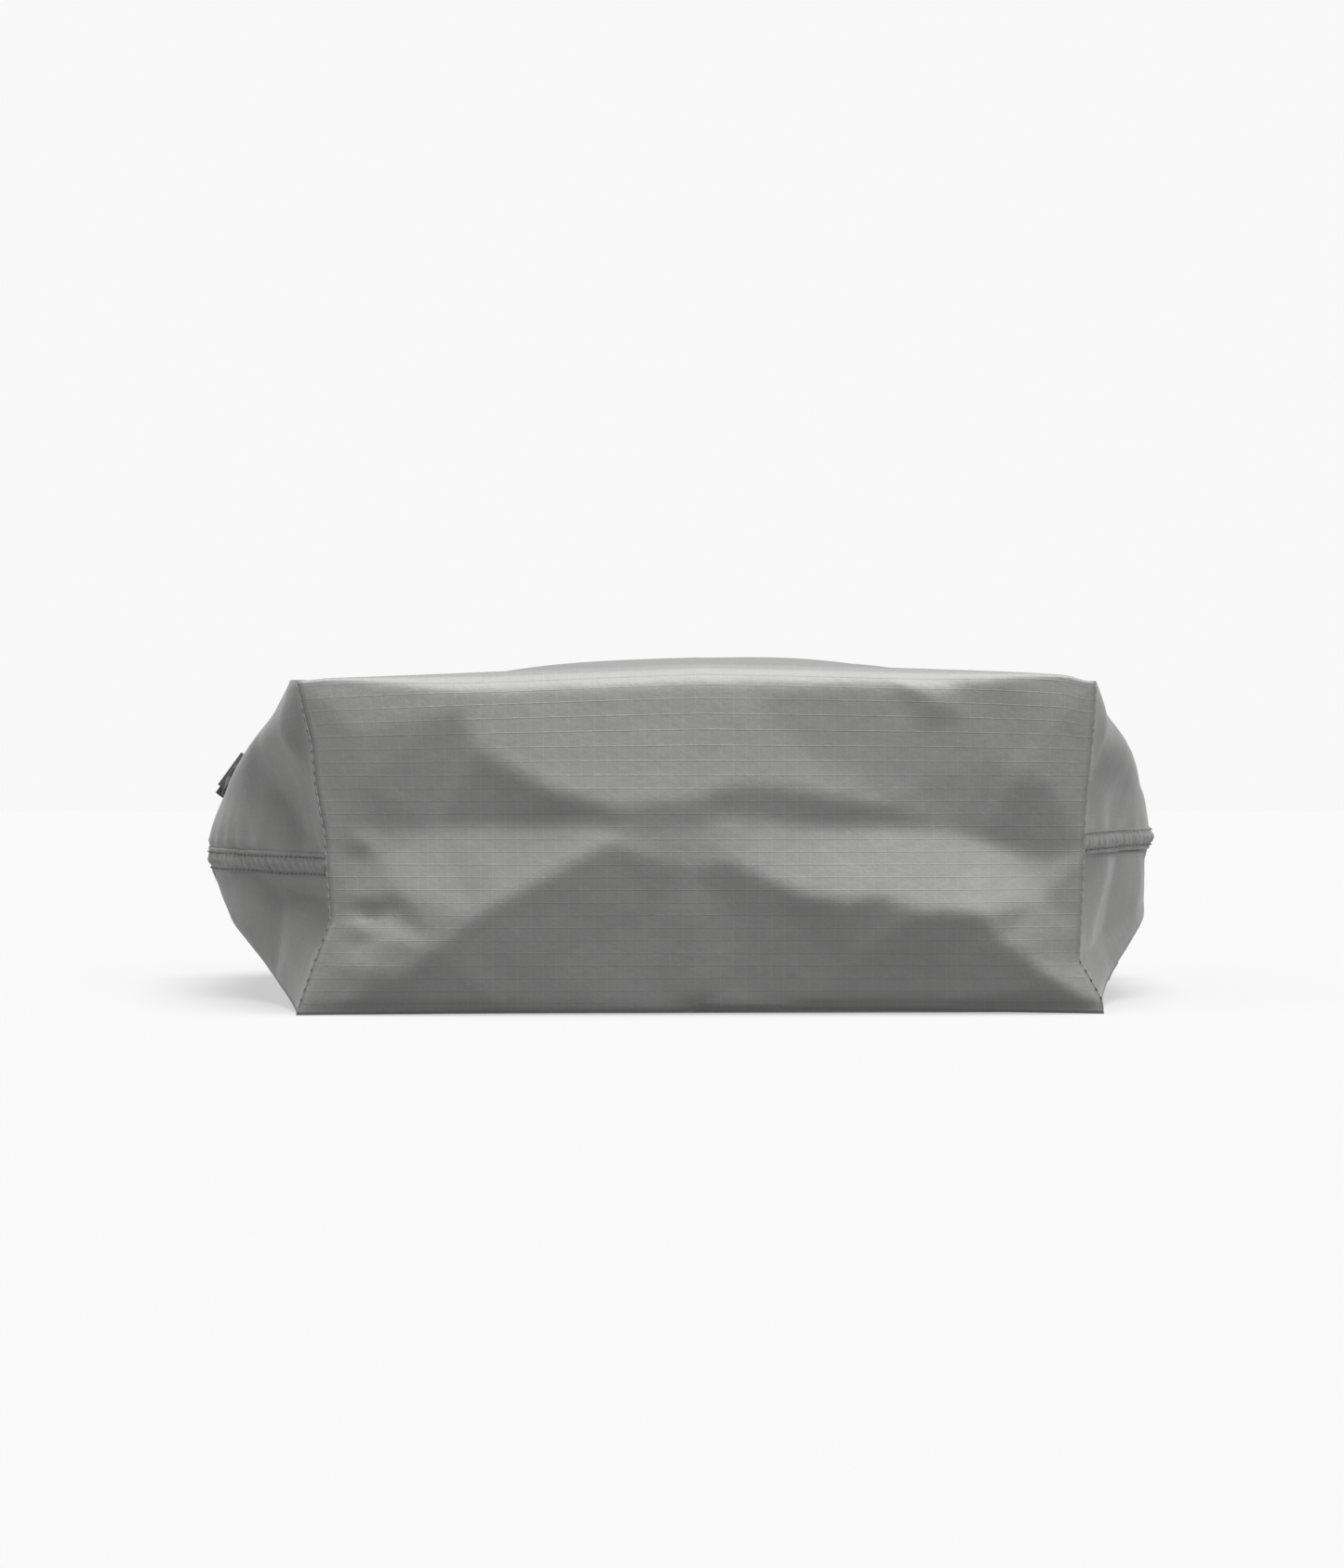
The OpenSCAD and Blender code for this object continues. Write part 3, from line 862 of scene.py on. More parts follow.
@dataclass
class BagShape:
    """The bag's skin: the CAD model's sections with folds, puckers and pleats on them."""

    fill_len: float = 150 * MM
    taper_at: float = 240 * MM
    mouth_w: float = 240 * MM
    mouth_h: float = 76 * MM
    mouth_z: float = 41 * MM
    hem_w: float = 22 * MM
    rounds: tuple = (2.3, 2.9, 2.7, 2.1)
    neck_rounds: tuple = (2.6, 3.2, 3.2, 2.6)
    tips: tuple = (-4.0 * MM, 3.5 * MM)
    settle: float = 10 * MM
    crown: float = 7.2 * MM
    sink: float = 2.5 * MM
    shoulders: tuple = (7.0 * MM, 8.5 * MM)
    edge_round: float = 10 * MM
    nick_x: float = -2.4 * MM
    nick_rise: float = 1.2 * MM
    pleats: int = 34
    # Heights, and how far the end seam is drawn in there, in millimetres.
    left_pull: tuple = (
        (0, 0), (19, 6.6), (37, 13.6), (57, 12.1), (70, 11.4), (91, 7.6), (106, 6.2), (132, 0))
    right_pull: tuple = (
        (0, 0), (6, 1.2), (15, 6.2), (21, 10.0), (48, 8.6), (79, 7.5), (92, 6.2), (115, 4.0), (132, 3.3))
    base_w: float = 0.0
    base_d: float = 0.0
    belly_w: float = 0.0
    belly_h: float = 0.0
    length: float = 0.0
    base_y: float = 0.0

    def __post_init__(self) -> None:
        """Reads the driving sizes off the frame and works out the grid of the skin."""
        low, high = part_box("base_panel")
        self.base_w, self.base_d, self.base_y = high.x - low.x, high.z - low.z, low.y
        low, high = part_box("front_panel")
        self.belly_w, self.belly_h = high.x - low.x, high.z
        self.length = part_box("hem")[1].y - self.base_y
        self.quarter = (self.base_w + self.base_d) / 2
        self.hem_y = self.length - self.hem_w
        across = np.linspace(0, self.base_w / 2, 57)
        ease = np.array([0.0, 1.5, 3.1, 4.9, 6.9, 9.1, 11.4]) * MM
        up = np.r_[ease, np.linspace(14 * MM, self.base_d / 2, 19)]
        self.base_x = np.r_[-across[:0:-1], across]
        self.base_z = np.r_[up, self.base_d - up[-2::-1]]
        r = np.r_[across / self.quarter, (self.base_w / 2 + up[1:]) / self.quarter]
        self.stations = np.r_[r, 2 - r[-2::-1], 2 + r[1:], 4 - r[-2:0:-1]]
        in_hem = self.hem_y + np.linspace(0, 1, 10)[1:] * self.hem_w
        self.rows = np.r_[ease, np.linspace(14 * MM, self.hem_y, 124), in_hem]
        w, y = np.meshgrid(self.stations, self.rows)
        self.grid = self.folded(w, y)
        self.out = self._outward(self.grid)

    # Sections

    def bow(self, z: Array, side: Array) -> Array:
        """How far each end of the base is drawn in at height z, between the stitches that pull it.

        Args:
            z: Heights above the floor.
            side: 1 for the right end and -1 for the left, at each place.

        Returns:
            Distances, in metres.
        """
        left = np.interp(z / MM, *np.array(self.left_pull).T)
        right = np.interp(z / MM, *np.array(self.right_pull).T)
        return np.where(side > 0, right, left) * MM

    def drawn(self, x: Array, z: Array) -> Array:
        """Where a point of the base at x comes to lie once the ends are drawn in at height z."""
        share = smooth((np.abs(x) / (self.base_w / 2) - 0.5) / 0.5)
        return x - np.sign(x) * self.bow(z, np.sign(x)) * share

    def share(self, w: Array) -> Array:
        """How far w is from the middle of its panel, 0, to a side seam, 1."""
        half = np.mod(w, 2.0)
        return np.where(half <= 1, half, 2 - half)

    def closing(self, y: Array) -> Array:
        """How far the bag has closed towards its mouth, from 0 to 1."""
        return smooth((y - self.taper_at) / (self.length - self.taper_at))

    def plain(self, w: Array, y: Array) -> Array:
        """The CAD skin: the base's bowed rectangle turns into a superellipse, which then closes.

        Args:
            w: Places round the bag.
            y: Distances from the base.

        Returns:
            Places in space.
        """
        q = np.mod(w, 4.0)
        front = (q <= 1) | (q >= 3)
        side = np.where(q <= 2, 1.0, -1.0)
        r = self.share(w)
        run = r * self.quarter
        e = np.clip((run - self.base_w / 2) / (self.base_d / 2), 0, 1)
        box_z = self.base_d / 2 * (1 - e)
        rise = self.base_d / 2 + np.where(front, box_z, -box_z)
        box_x = side * self.drawn(side * np.minimum(run, self.base_w / 2), rise)
        shut = self.closing(y)
        part = np.clip(q.astype(int), 0, 3)
        n = mix(np.array(self.rounds)[part], np.array(self.neck_rounds)[part], shut)
        s, c = np.sin(math.pi / 2 * r), np.cos(math.pi / 2 * r)
        k = (s ** n + c ** n) ** (1 / n)
        full = np.where(front, self.belly_h - self.sink - self.base_d / 2, self.base_d / 2 + self.settle)
        oval_x = mix(self.belly_w, self.mouth_w, shut) / 2 * s / k
        oval_z = mix(full, self.mouth_h / 2, shut) * c / k
        blend = smooth(y / self.fill_len)
        x, z = mix(box_x, oval_x, blend), mix(box_z, oval_z, blend)
        seam = mix(self.base_d / 2, self.mouth_z, shut)
        height = np.where(front, seam + z, np.maximum(seam - z, 0))
        return np.stack([side * x, self.base_y + y, height], -1)

    def section_out(self, w: Array, y: Array) -> Array:
        """Direction out of the plain skin, square to its section.

        Args:
            w: Places round the bag.
            y: Distances from the base.

        Returns:
            Directions of length one.
        """
        d = 0.004
        t = self.plain(w + d, y) - self.plain(w - d, y)
        return unit(np.stack([-t[..., 2], np.zeros_like(t[..., 0]), t[..., 0]], -1))

    # Folds

    def lane(self, w: Array) -> Array:
        """One where the strands of the cord lie on the neck, and 0 away from them."""
        q = np.mod(w, 4.0)
        return smooth((q - 2.92) / 0.08) * (1 - smooth((q - 3.48) / 0.1))

    def pleat(self, w: Array, y: Array) -> Array:
        """Height of the gathers: rounded ridges with sharp valleys that die out towards the belly.

        Args:
            w: Places round the bag.
            y: Distances from the base.

        Returns:
            Heights out of the cloth.
        """
        turn = w * math.pi / 2
        way = turn + 0.06 * np.sin(3 * turn + 0.7) + 0.035 * np.sin(7 * turn)
        near = smooth((y - self.taper_at + 30 * MM) / (self.hem_y - self.taper_at + 30 * MM))
        wander = 0.10 * np.sin(y / (19 * MM) + 3 * turn) * (1 - near)
        ridge = np.abs(np.sin(self.pleats / 2 * (way + wander))) ** 0.75
        second = np.abs(np.sin(9 * way + 1.1)) ** 0.9
        uneven = 0.72 + 0.28 * np.sin(5 * way + 1.0)
        raised = (ridge * 6.2 * uneven + second * 1.8 - 2.4) * MM
        return raised * near ** 1.3 * (1 - 0.86 * self.lane(w))

    def swell(self, w: Array, y: Array) -> Array:
        """Slack in the long panels: a few broad waves along and across the cloth, in metres.

        Args:
            w: Places round the bag.
            y: Distances from the base.

        Returns:
            Heights out of the cloth.
        """
        turn = w * math.pi / 2
        body = smooth((y - 25 * MM) / (60 * MM)) * (1 - smooth((y - self.hem_y + 20 * MM) / (20 * MM)))
        waves = (1.5 * np.sin(4 * turn + y / (70 * MM) + 0.4) * np.sin(y / (57 * MM) + 1.3)
                 + 1.0 * np.sin(6 * turn - y / (38 * MM) + 2.0) * np.sin(2 * turn + 0.6)
                 + 0.6 * np.sin(11 * turn + y / (17 * MM)) * np.sin(y / (31 * MM) + 2 * turn))
        return waves * MM * body * (1 - 0.6 * self.lane(w))

    def seam_pucker(self, w: Array, y: Array) -> Array:
        """Small gathers that the side seams pull into the cloth beside them.

        Args:
            w: Places round the bag.
            y: Distances from the base.

        Returns:
            Heights out of the cloth.
        """
        q = np.mod(w, 2.0)
        off = (q - 1) * self.quarter
        ripple = np.sin(y / (2.6 * MM) + 1.7 * np.sin(y / (17 * MM))) * np.exp(-np.abs(off) / (11 * MM))
        drawn_in = np.exp(-(off / (7 * MM)) ** 2) * smooth(y / (9 * MM))
        return 0.45 * MM * ripple * smooth(y / (12 * MM)) - 0.5 * MM * drawn_in

    def gusset(self, w: Array, y: Array) -> Array:
        """The end gussets' folds.

        Args:
            w: Places round the bag.
            y: Distances from the base.

        Returns:
            Heights out of the cloth.
        """
        q = np.mod(w, 4.0)
        right = (1 - q) * self.quarter / MM
        left = (q - 3) * self.quarter / MM
        made = np.zeros_like(q)
        for net, up in ((LEFT_FOLDS, left), (RIGHT_FOLDS, right)):
            near = np.abs(up) < 80
            made[near] += net.height(up[near], (y / MM)[near])
        return made

    def fullness(self, w: Array, y: Array) -> Array:
        """How the filling draws the seams to a ridge and lifts the front just behind the base.

        Args:
            w: Places round the bag.
            y: Distances from the base.

        Returns:
            Heights out of the cloth.
        """
        q = np.mod(w, 4.0)
        left_tip = self.tips[1] * np.exp(-np.abs(q - 3) * self.quarter / (24 * MM))
        tip = np.where(q < 2, self.tips[0] * bump((q - 1) / 0.9), left_tip)
        body = smooth(y / (90 * MM)) * (1 - self.closing(y))
        run = np.minimum(q, 4 - q) * self.quarter
        along = 1 - smooth((y - 35 * MM) / (130 * MM))
        behind = smooth(y / (22 * MM)) * (1 - smooth((y - 50 * MM) / (110 * MM)))
        corner = bump((run - 0.55 * self.base_w) / (0.085 * self.base_w)) * behind
        arched = self.arch(np.where(q < 2, run, -run)) * along
        return np.where(q < 2, *self.shoulders) * corner + tip * body + arched

    def arch(self, x: Array) -> Array:
        """How far the filling lifts the base's upper edge: a tent with a fuller right half."""
        share = np.clip(1 - np.abs(x) / (self.base_w / 2), 0, 1)
        return self.crown * np.sqrt(share ** np.where(x < 0, 1.8, 0.85) + 0.01) * smooth(share * 12)

    def folded(self, w: Array, y: Array) -> Array:
        """The skin with its folds, pushed out along the section's own direction.

        Args:
            w: Places round the bag.
            y: Distances from the base.

        Returns:
            Places in space.
        """
        rise = (self.pleat(w, y) + self.swell(w, y) + self.seam_pucker(w, y)
                + self.gusset(w, y) + self.fullness(w, y))
        made = self.plain(w, y) + rise[..., None] * self.section_out(w, y)
        made = self._rounded_wall(w, y, made)
        made[..., 2] = np.maximum(made[..., 2], 0.0)
        return made

    # Rounded edges of the base

    def edge_radius(self, x: Array, top: Array) -> Array:
        """Radius of the base's long edges, which sharpen into its corners."""
        size = np.where(top, self.edge_round, 0.25 * self.edge_round)
        return size * smooth((self.base_w / 2 - np.abs(x) + 6 * MM) / (90 * MM)) + 1e-6

    def notch(self, x: Array) -> Array:
        """How far the lower edge is off the floor: a little to its middle, with a nick there."""
        share = np.clip(1 - np.abs(x) / (self.base_w / 2), 0, 1)
        off_nick = x - self.nick_x
        nick = self.nick_rise * np.exp(-(off_nick / (3.5 * MM)) ** 2)
        return np.where(off_nick > 0, 2.4, 0.8) * MM * share + nick

    def _rounded_wall(self, w: Array, y: Array, made: Array) -> Array:
        """Bends the first stretch of the long panels round the base's edge, an eighth of a turn.

        Args:
            w: Places round the bag.
            y: Distances from the base.
            made: The skin before it is bent.

        Returns:
            The bent skin.
        """
        q = np.mod(w, 4.0)
        top = (q < 1) | (q > 3)
        r = self.share(w)
        flat = r * self.quarter < self.base_w / 2
        radius = self.edge_radius(r * self.quarter, top)
        angle = math.pi / 4 * (1 - np.clip(y / radius, 0, 1))
        drop = radius * (1 - np.cos(angle)) * flat
        back = np.where(flat & (y < radius), radius * (1 - np.sin(angle)) - y, 0)
        out = made.copy()
        off_floor = self.notch(made[..., 0]) * flat * (1 - smooth(y / (9 * MM)))
        out[..., 2] += np.where(top, -drop, drop + off_floor)
        out[..., 1] += back
        return out

    def base_points(self) -> tuple[Array, Array]:
        """The base's grid of points and its cloth coordinates.

        Returns:
            Places in space, and pairs of cloth coordinates.
        """
        x, z = np.meshgrid(self.base_x, self.base_z)
        place = self.drawn(x, z)
        top = z > self.base_d / 2
        from_edge = np.where(top, self.base_d - z, z)
        radius = self.edge_radius(x, top)
        angle = math.pi / 4 * (1 + np.clip(from_edge / radius, 0, 1))
        bent = from_edge < radius
        drop = np.where(bent, radius * (1 - np.cos(angle)), from_edge)
        back = np.where(bent, radius * (1 - np.sin(angle)), 0)
        lifted = self.arch(x) * smooth((z - 0.68 * self.base_d) / (0.32 * self.base_d))
        height = np.where(top, self.base_d - drop, drop) + lifted
        height += self.notch(x) * (1 - smooth(z / (9 * MM)))
        out = BASE_FOLDS.height(x / MM, z / MM)
        rim = smooth(np.minimum(from_edge / (6 * MM), (self.base_w / 2 - np.abs(x)) / (2.5 * MM)))
        y = self.base_y + back - out * rim
        return np.stack([place, y, height], -1), np.stack([x, z - self.base_d], -1)

    # Sampling

    def _outward(self, grid: Array) -> Array:
        """Directions out of a closed grid of the skin.

        Args:
            grid: Places of the skin.

        Returns:
            Directions of length one.
        """
        ring = np.concatenate([grid[:, -1:], grid, grid[:, :1]], 1)
        round_way = ring[:, 2:] - ring[:, :-2]
        long_way = np.gradient(grid, axis=0)
        return unit(np.cross(round_way, long_way))

    def at(self, w: Array, y: Array, height: Array | float = 0.0) -> tuple[Array, Array]:
        """Places on or above the folded skin.

        The four nearest grid points are mixed by their shares.

        Args:
            w: Places round the bag.
            y: Distances from the base.
            height: Distances out of the cloth.

        Returns:
            The places and the directions out of the cloth there.
        """
        w, y = np.broadcast_arrays(np.mod(w, 4.0), y)
        n = len(self.stations)
        i = np.interp(w, np.r_[self.stations, 4.0], np.arange(n + 1))
        j = np.interp(y, self.rows, np.arange(len(self.rows)))
        i0, j0 = np.floor(i).astype(int), np.minimum(np.floor(j).astype(int), len(self.rows) - 2)
        a, b = (i - i0)[..., None], (j - j0)[..., None]
        i0, i1 = i0 % n, (i0 + 1) % n

        def mixed(grid: Array) -> Array:
            """The grid's values at the wanted places."""
            near = grid[j0, i0] * (1 - a) + grid[j0, i1] * a
            far = grid[j0 + 1, i0] * (1 - a) + grid[j0 + 1, i1] * a
            return near * (1 - b) + far * b

        place, out = mixed(self.grid), unit(mixed(self.out))
        place = place + out * (np.asarray(height)[..., None] if np.ndim(height) else height)
        place[..., 2] = np.maximum(place[..., 2], 0.0)
        return place, out


# ---- Sub-assemblies ----

@dataclass
class ClothBody:
    """Base, front and back panels, which are one folded piece of cloth."""

    shape: BagShape
    thickness: float = 0.5 * MM
    tuck: int = 2

    def build(self, palette: Palette) -> None:
        """Joins the base's grid to the skin's, gives the cloth its thickness and dresses it.

        Args:
            palette: Gives each piece its finish, slot and body.
        """
        s = self.shape
        base, base_uv = s.base_points()
        last = int(np.searchsorted(s.rows, s.hem_y + 1e-9)) + self.tuck
        wall = s.grid[:last]
        w, y = np.meshgrid(s.stations, s.rows[:last])
        wall_uv = np.stack([np.where(w > 2, w - 4, w) * s.quarter, y], -1)
        n, first = len(s.stations), base.shape[0] * base.shape[1]
        base_faces = grid_faces(*base.shape[:2]).tolist()
        wall_faces = (grid_faces(last, n, True) + first).tolist()
        points = np.concatenate([base.reshape(-1, 3), wall.reshape(-1, 3)])
        uv = np.concatenate([base_uv.reshape(-1, 2), wall_uv.reshape(-1, 2)])
        piece = make_piece("bag_cloth", points, base_faces + wall_faces, uv)
        self._straighten_uv(piece)
        tidy_normals(piece, 2e-5)
        wall_mod = piece.modifiers.new("cloth_thickness", "SOLIDIFY")
        wall_mod.thickness = self.thickness
        wall_mod.offset = -1.0
        palette.settle(piece, Finish.CLOTH, "bag", "base_panel", "front_panel", "back_panel")

    def _straighten_uv(self, piece: Piece) -> None:
        """Keeps the cloth coordinates whole across the line where the way round starts again.

        Args:
            piece: The piece.
        """
        s = self.shape
        layer = piece.data.uv_layers["cloth"].data
        uv = np.zeros(len(layer) * 2, np.float32)
        layer.foreach_get("uv", uv)
        corners = uv.reshape(-1, 4, 2)
        span = corners[..., 0].max(1) - corners[..., 0].min(1)
        split = span > s.quarter
        across = corners[..., 0]
        across[split] = np.where(across[split] < 0, across[split] + 4 * s.quarter, across[split])
        layer.foreach_set("uv", corners.ravel())


@dataclass
class Hem:
    """The tunnel at the mouth: cloth turned in over the cord, gathered with it and stitched down."""

    shape: BagShape
    depth: float = 6.8 * MM
    thread: StitchSize = StitchSize()

    def outline(self) -> Array:
        """The hem's section: distances from the base and depths into the bag, once round it.

        Returns:
            One pair of distance and depth for each point.
        """
        s, d = self.shape, self.depth
        t = np.linspace(0, 1, 9)
        outer = np.stack([s.hem_y - 1.5 * MM + t * (s.hem_w - 1.0 * MM),
                          -1.1 * MM * np.sin(math.pi * t) ** 0.6 - 0.3 * MM], -1)
        turn = np.linspace(0, math.pi, 7)[1:-1]
        edge_y = s.length - 2.5 * MM
        edge = np.stack([edge_y + 2.5 * MM * np.sin(turn), d / 2 - d / 2 * np.cos(turn)], -1)
        inner = np.stack([edge_y - t * (s.hem_w - 4 * MM), d + 0.6 * MM * np.sin(math.pi * t)], -1)
        close = np.array([[s.hem_y + 0.5 * MM, d * 0.55], [s.hem_y - 0.5 * MM, 0.9 * MM]])
        return np.concatenate([outer, edge, inner, close])

    def build(self, palette: Palette) -> None:
        """Carries the section round the mouth and sews its lower edge.

        Args:
            palette: Gives each piece its finish, slot and body.
        """
        s = self.shape
        section = self.outline()
        w = s.stations
        y = np.minimum(section[:, 0], s.length)[None]
        place, out = s.at(w[:, None], y)
        rows = place - section[:, 1][None, :, None] * out
        rows[..., 1] = np.minimum(rows[..., 1], s.base_y + s.length + 1 * MM)
        rows[..., 2] = np.maximum(rows[..., 2], 0.0)
        down = section[:, 0][None] + section[:, 1][None]
        uv = np.stack(np.broadcast_arrays(w[:, None] * s.quarter, down), -1)
        palette.settle(lofted("hem_tunnel", rows, uv, ring=True), Finish.CLOTH, "bag", "hem")
        way = np.linspace(0, 4, 900)
        path, lift = s.at(way, s.hem_y + 1.5 * MM, 0.75 * MM)
        path[:, 2] = np.maximum(path[:, 2], 0.4 * MM)
        palette.settle(stitches("hem_stitches", path, lift, self.thread), Finish.THREAD, "bag", "hem_threads")


@dataclass
class SideSeam:
    """A flat-felled side seam: a puckered fold of cloth held down by two rows of stitches."""

    shape: BagShape
    side: str
    width: float = 9.5 * MM
    height: float = 1.25 * MM
    below_line: tuple = (2.5 * MM, 3.4 * MM)
    thread: StitchSize = StitchSize(2.3 * MM, 1.5 * MM, 0.55 * MM)

    def away(self, distance: Array, y: Array) -> Array:
        """The place w at a distance from the seam line, on the side that it is folded to.

        Args:
            distance: Distances from the seam.
            y: Distances from the base.

        Returns:
            Places round the bag.
        """
        left, right = self.below_line
        line, shift = (1.0, -right) if self.side == "right" else (3.0, left)
        s = self.shape
        d = 0.03
        moved = s.plain(line - d, y) - s.plain(np.full_like(y, line), y)
        rate = np.linalg.norm(moved, axis=-1) / d
        return line - (distance + shift) / rate

    def build(self, palette: Palette) -> None:
        """Lofts the fold along the bag, then sews it.

        Args:
            palette: Gives each piece its finish, slot and body.
        """
        s = self.shape
        y = np.arange(0.3 * MM, s.hem_y, 1.3 * MM)
        t = np.linspace(0, 1, 13)
        rows_of_thread = np.array([0.2, 0.9])
        dip = sum(0.5 * np.exp(-((t - c) / 0.07) ** 2) for c in rows_of_thread)
        crown = np.clip(np.sin(math.pi * np.clip(t, 0.02, 0.98)) ** 0.25 - dip, 0, 1)
        phase = y[:, None] / (1.7 * MM) + 2.0 * np.sin(y[:, None] / (23 * MM)) + 2.2 * t[None]
        pucker = np.abs(np.sin(phase)) ** 1.5 * (0.75 + 0.25 * np.sin(y[:, None] / (9 * MM)))
        mid = bump((t - 0.55) / 0.36)
        height = self.height * (0.8 * crown[None] + pucker * mid[None])
        yy = np.repeat(y[:, None], len(t), 1)
        w = self.away(t[None] * self.width, yy)
        top, _ = s.at(w, yy, height + 0.1 * MM)
        under, _ = s.at(w, yy, -0.3 * MM)
        rows = np.concatenate([top, under[:, ::-1]], 1)
        across = np.concatenate([t, t[::-1]]) * self.width
        uv = np.stack(np.broadcast_arrays(across[None], y[:, None]), -1)
        name = f"{self.side}_felled_seam"
        palette.settle(lofted(name, rows, uv), Finish.SEAM, "bag", f"{self.side}_side_seam")
        for k, share in enumerate(rows_of_thread):
            path, out = s.at(self.away(np.full_like(y, share * self.width), y), y, self.height * 0.75)
            piece = stitches(f"{self.side}_seam_stitches_{k + 1}", path, out, self.thread)
            palette.settle(piece, Finish.THREAD, "bag", "side_seam_threads")


@dataclass
class CareLabel:
    """The blank care label: caught in the left side seam, lying over it with its free edge curled up."""

    shape: BagShape
    reach: float = 27 * MM
    thickness: float = 0.4 * MM
    over_seam: float = 2.5 * MM
    step_down: float = 1.5 * MM
    curl: float = 1.4 * MM
    wave: float = 0.2 * MM

    def build(self, palette: Palette) -> None:
        """Lays a thin sheet on the skin from the seam line down.

        Args:
            palette: Gives each piece its finish, slot and body.
        """
        s = self.shape
        low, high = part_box("care_label")
        y, down = np.meshgrid(np.linspace(low.y, high.y, 20) - s.base_y,
                              np.linspace(0.4 * MM, self.reach, 26))
        w = SideSeam(s, "left").away(down, y)
        share = down / self.reach
        lift = (self.over_seam - self.step_down * smooth((share - 0.34) / 0.3)
                + self.curl * share ** 5 + self.wave * np.sin(y / (6 * MM)))
        top, _ = s.at(w, y, lift + self.thickness)
        under, _ = s.at(w, y, lift)
        label = lofted("satin_label", np.concatenate([top, under[:, ::-1]], 1))
        palette.settle(label, Finish.LABEL, "bag", "care_label")


@dataclass
class EndSeam:
    """The boxed-corner seam at one end of the base, with its bound edge inside."""

    shape: BagShape
    side: str
    pitch: float = 4.2 * MM
    radius: float = 0.5 * MM
    tape_w: float = 6.0 * MM
    tape_t: float = 1.2 * MM
    tape_in: float = 1.0 * MM
    tape_back: float = 2.0 * MM
    # Heights between which dark stitches are laid, at the left end and at the right: painted shade, standing
    # in for the dashed line of shadow along the seam.
    sewn: tuple = ((4 * MM, 126 * MM), (4 * MM, 24 * MM))
    thread: StitchSize = StitchSize(2.4 * MM, 1.8 * MM, 0.5 * MM)

    def build(self, palette: Palette) -> None:
        """Lays a soft welt along the edge between base and gusset, sews it with dark stitches that stand in
        for the dashed shadow along the seam, and binds its inside.

        Args:
            palette: Gives each piece its finish, slot and body.
        """
        s = self.shape
        sign = 1.0 if self.side == "right" else -1.0
        z = np.linspace(1.5 * MM, s.base_d - 1.5 * MM, 150)
        x = sign * (s.base_w / 2 - s.bow(z, np.full_like(z, sign)))
        path = np.stack([x, np.full_like(z, s.base_y + 0.3 * MM), z], -1)
        pull = 0.5 + 0.5 * np.cos(2 * math.pi * z / self.pitch + 1.2 * np.sin(z / (17 * MM)))
        thick = self.radius * (0.6 + 0.4 * pull ** 0.4) * smooth(np.minimum(z, s.base_d - z) / (5 * MM) + 0.3)
        angle = np.linspace(0, 2 * math.pi, 10, endpoint=False)
        rows = path[:, None] + thick[:, None, None] * np.stack(
            [np.cos(angle), np.sin(angle), np.zeros_like(angle)], -1)[None]
        run = np.broadcast_to(z[:, None], (len(z), len(angle)))
        uv = np.stack([np.broadcast_to(angle[None] * self.radius, run.shape), run - s.base_d], -1)
        palette.settle(lofted(f"{self.side}_end_seam", rows, uv), Finish.SEAM, "bag")
        # Painted shade: a dark row of stitches laid where the seam shows a dashed line of shadow.
        lowest, highest = self.sewn[self.side == "right"]
        sewn = path[(z > lowest) & (z < highest)]
        out = np.tile(unit(np.array([sign * 0.5, -1.0, 0.0])), (len(sewn), 1))
        thread = stitches(f"{self.side}_end_shade_stitches", sewn + out * 0.25 * MM, out, self.thread)
        palette.settle(thread, Finish.THREAD, "bag")
        inside = path[(z > 9 * MM) & (z < s.base_d - 9 * MM)][::4]
        corner = np.array([[0, 0], [self.tape_t, 0], [self.tape_t, self.tape_w], [0, self.tape_w]])
        across, back = corner[::-int(sign)].T
        outline = np.stack([-sign * (across + self.tape_in), back + self.tape_back, 0 * across], -1)
        tape = lofted(f"{self.side}_binding_tape", inside[:, None] + outline[None])
        palette.settle(tape, Finish.BINDING, "bag", f"{self.side}_corner_binding")


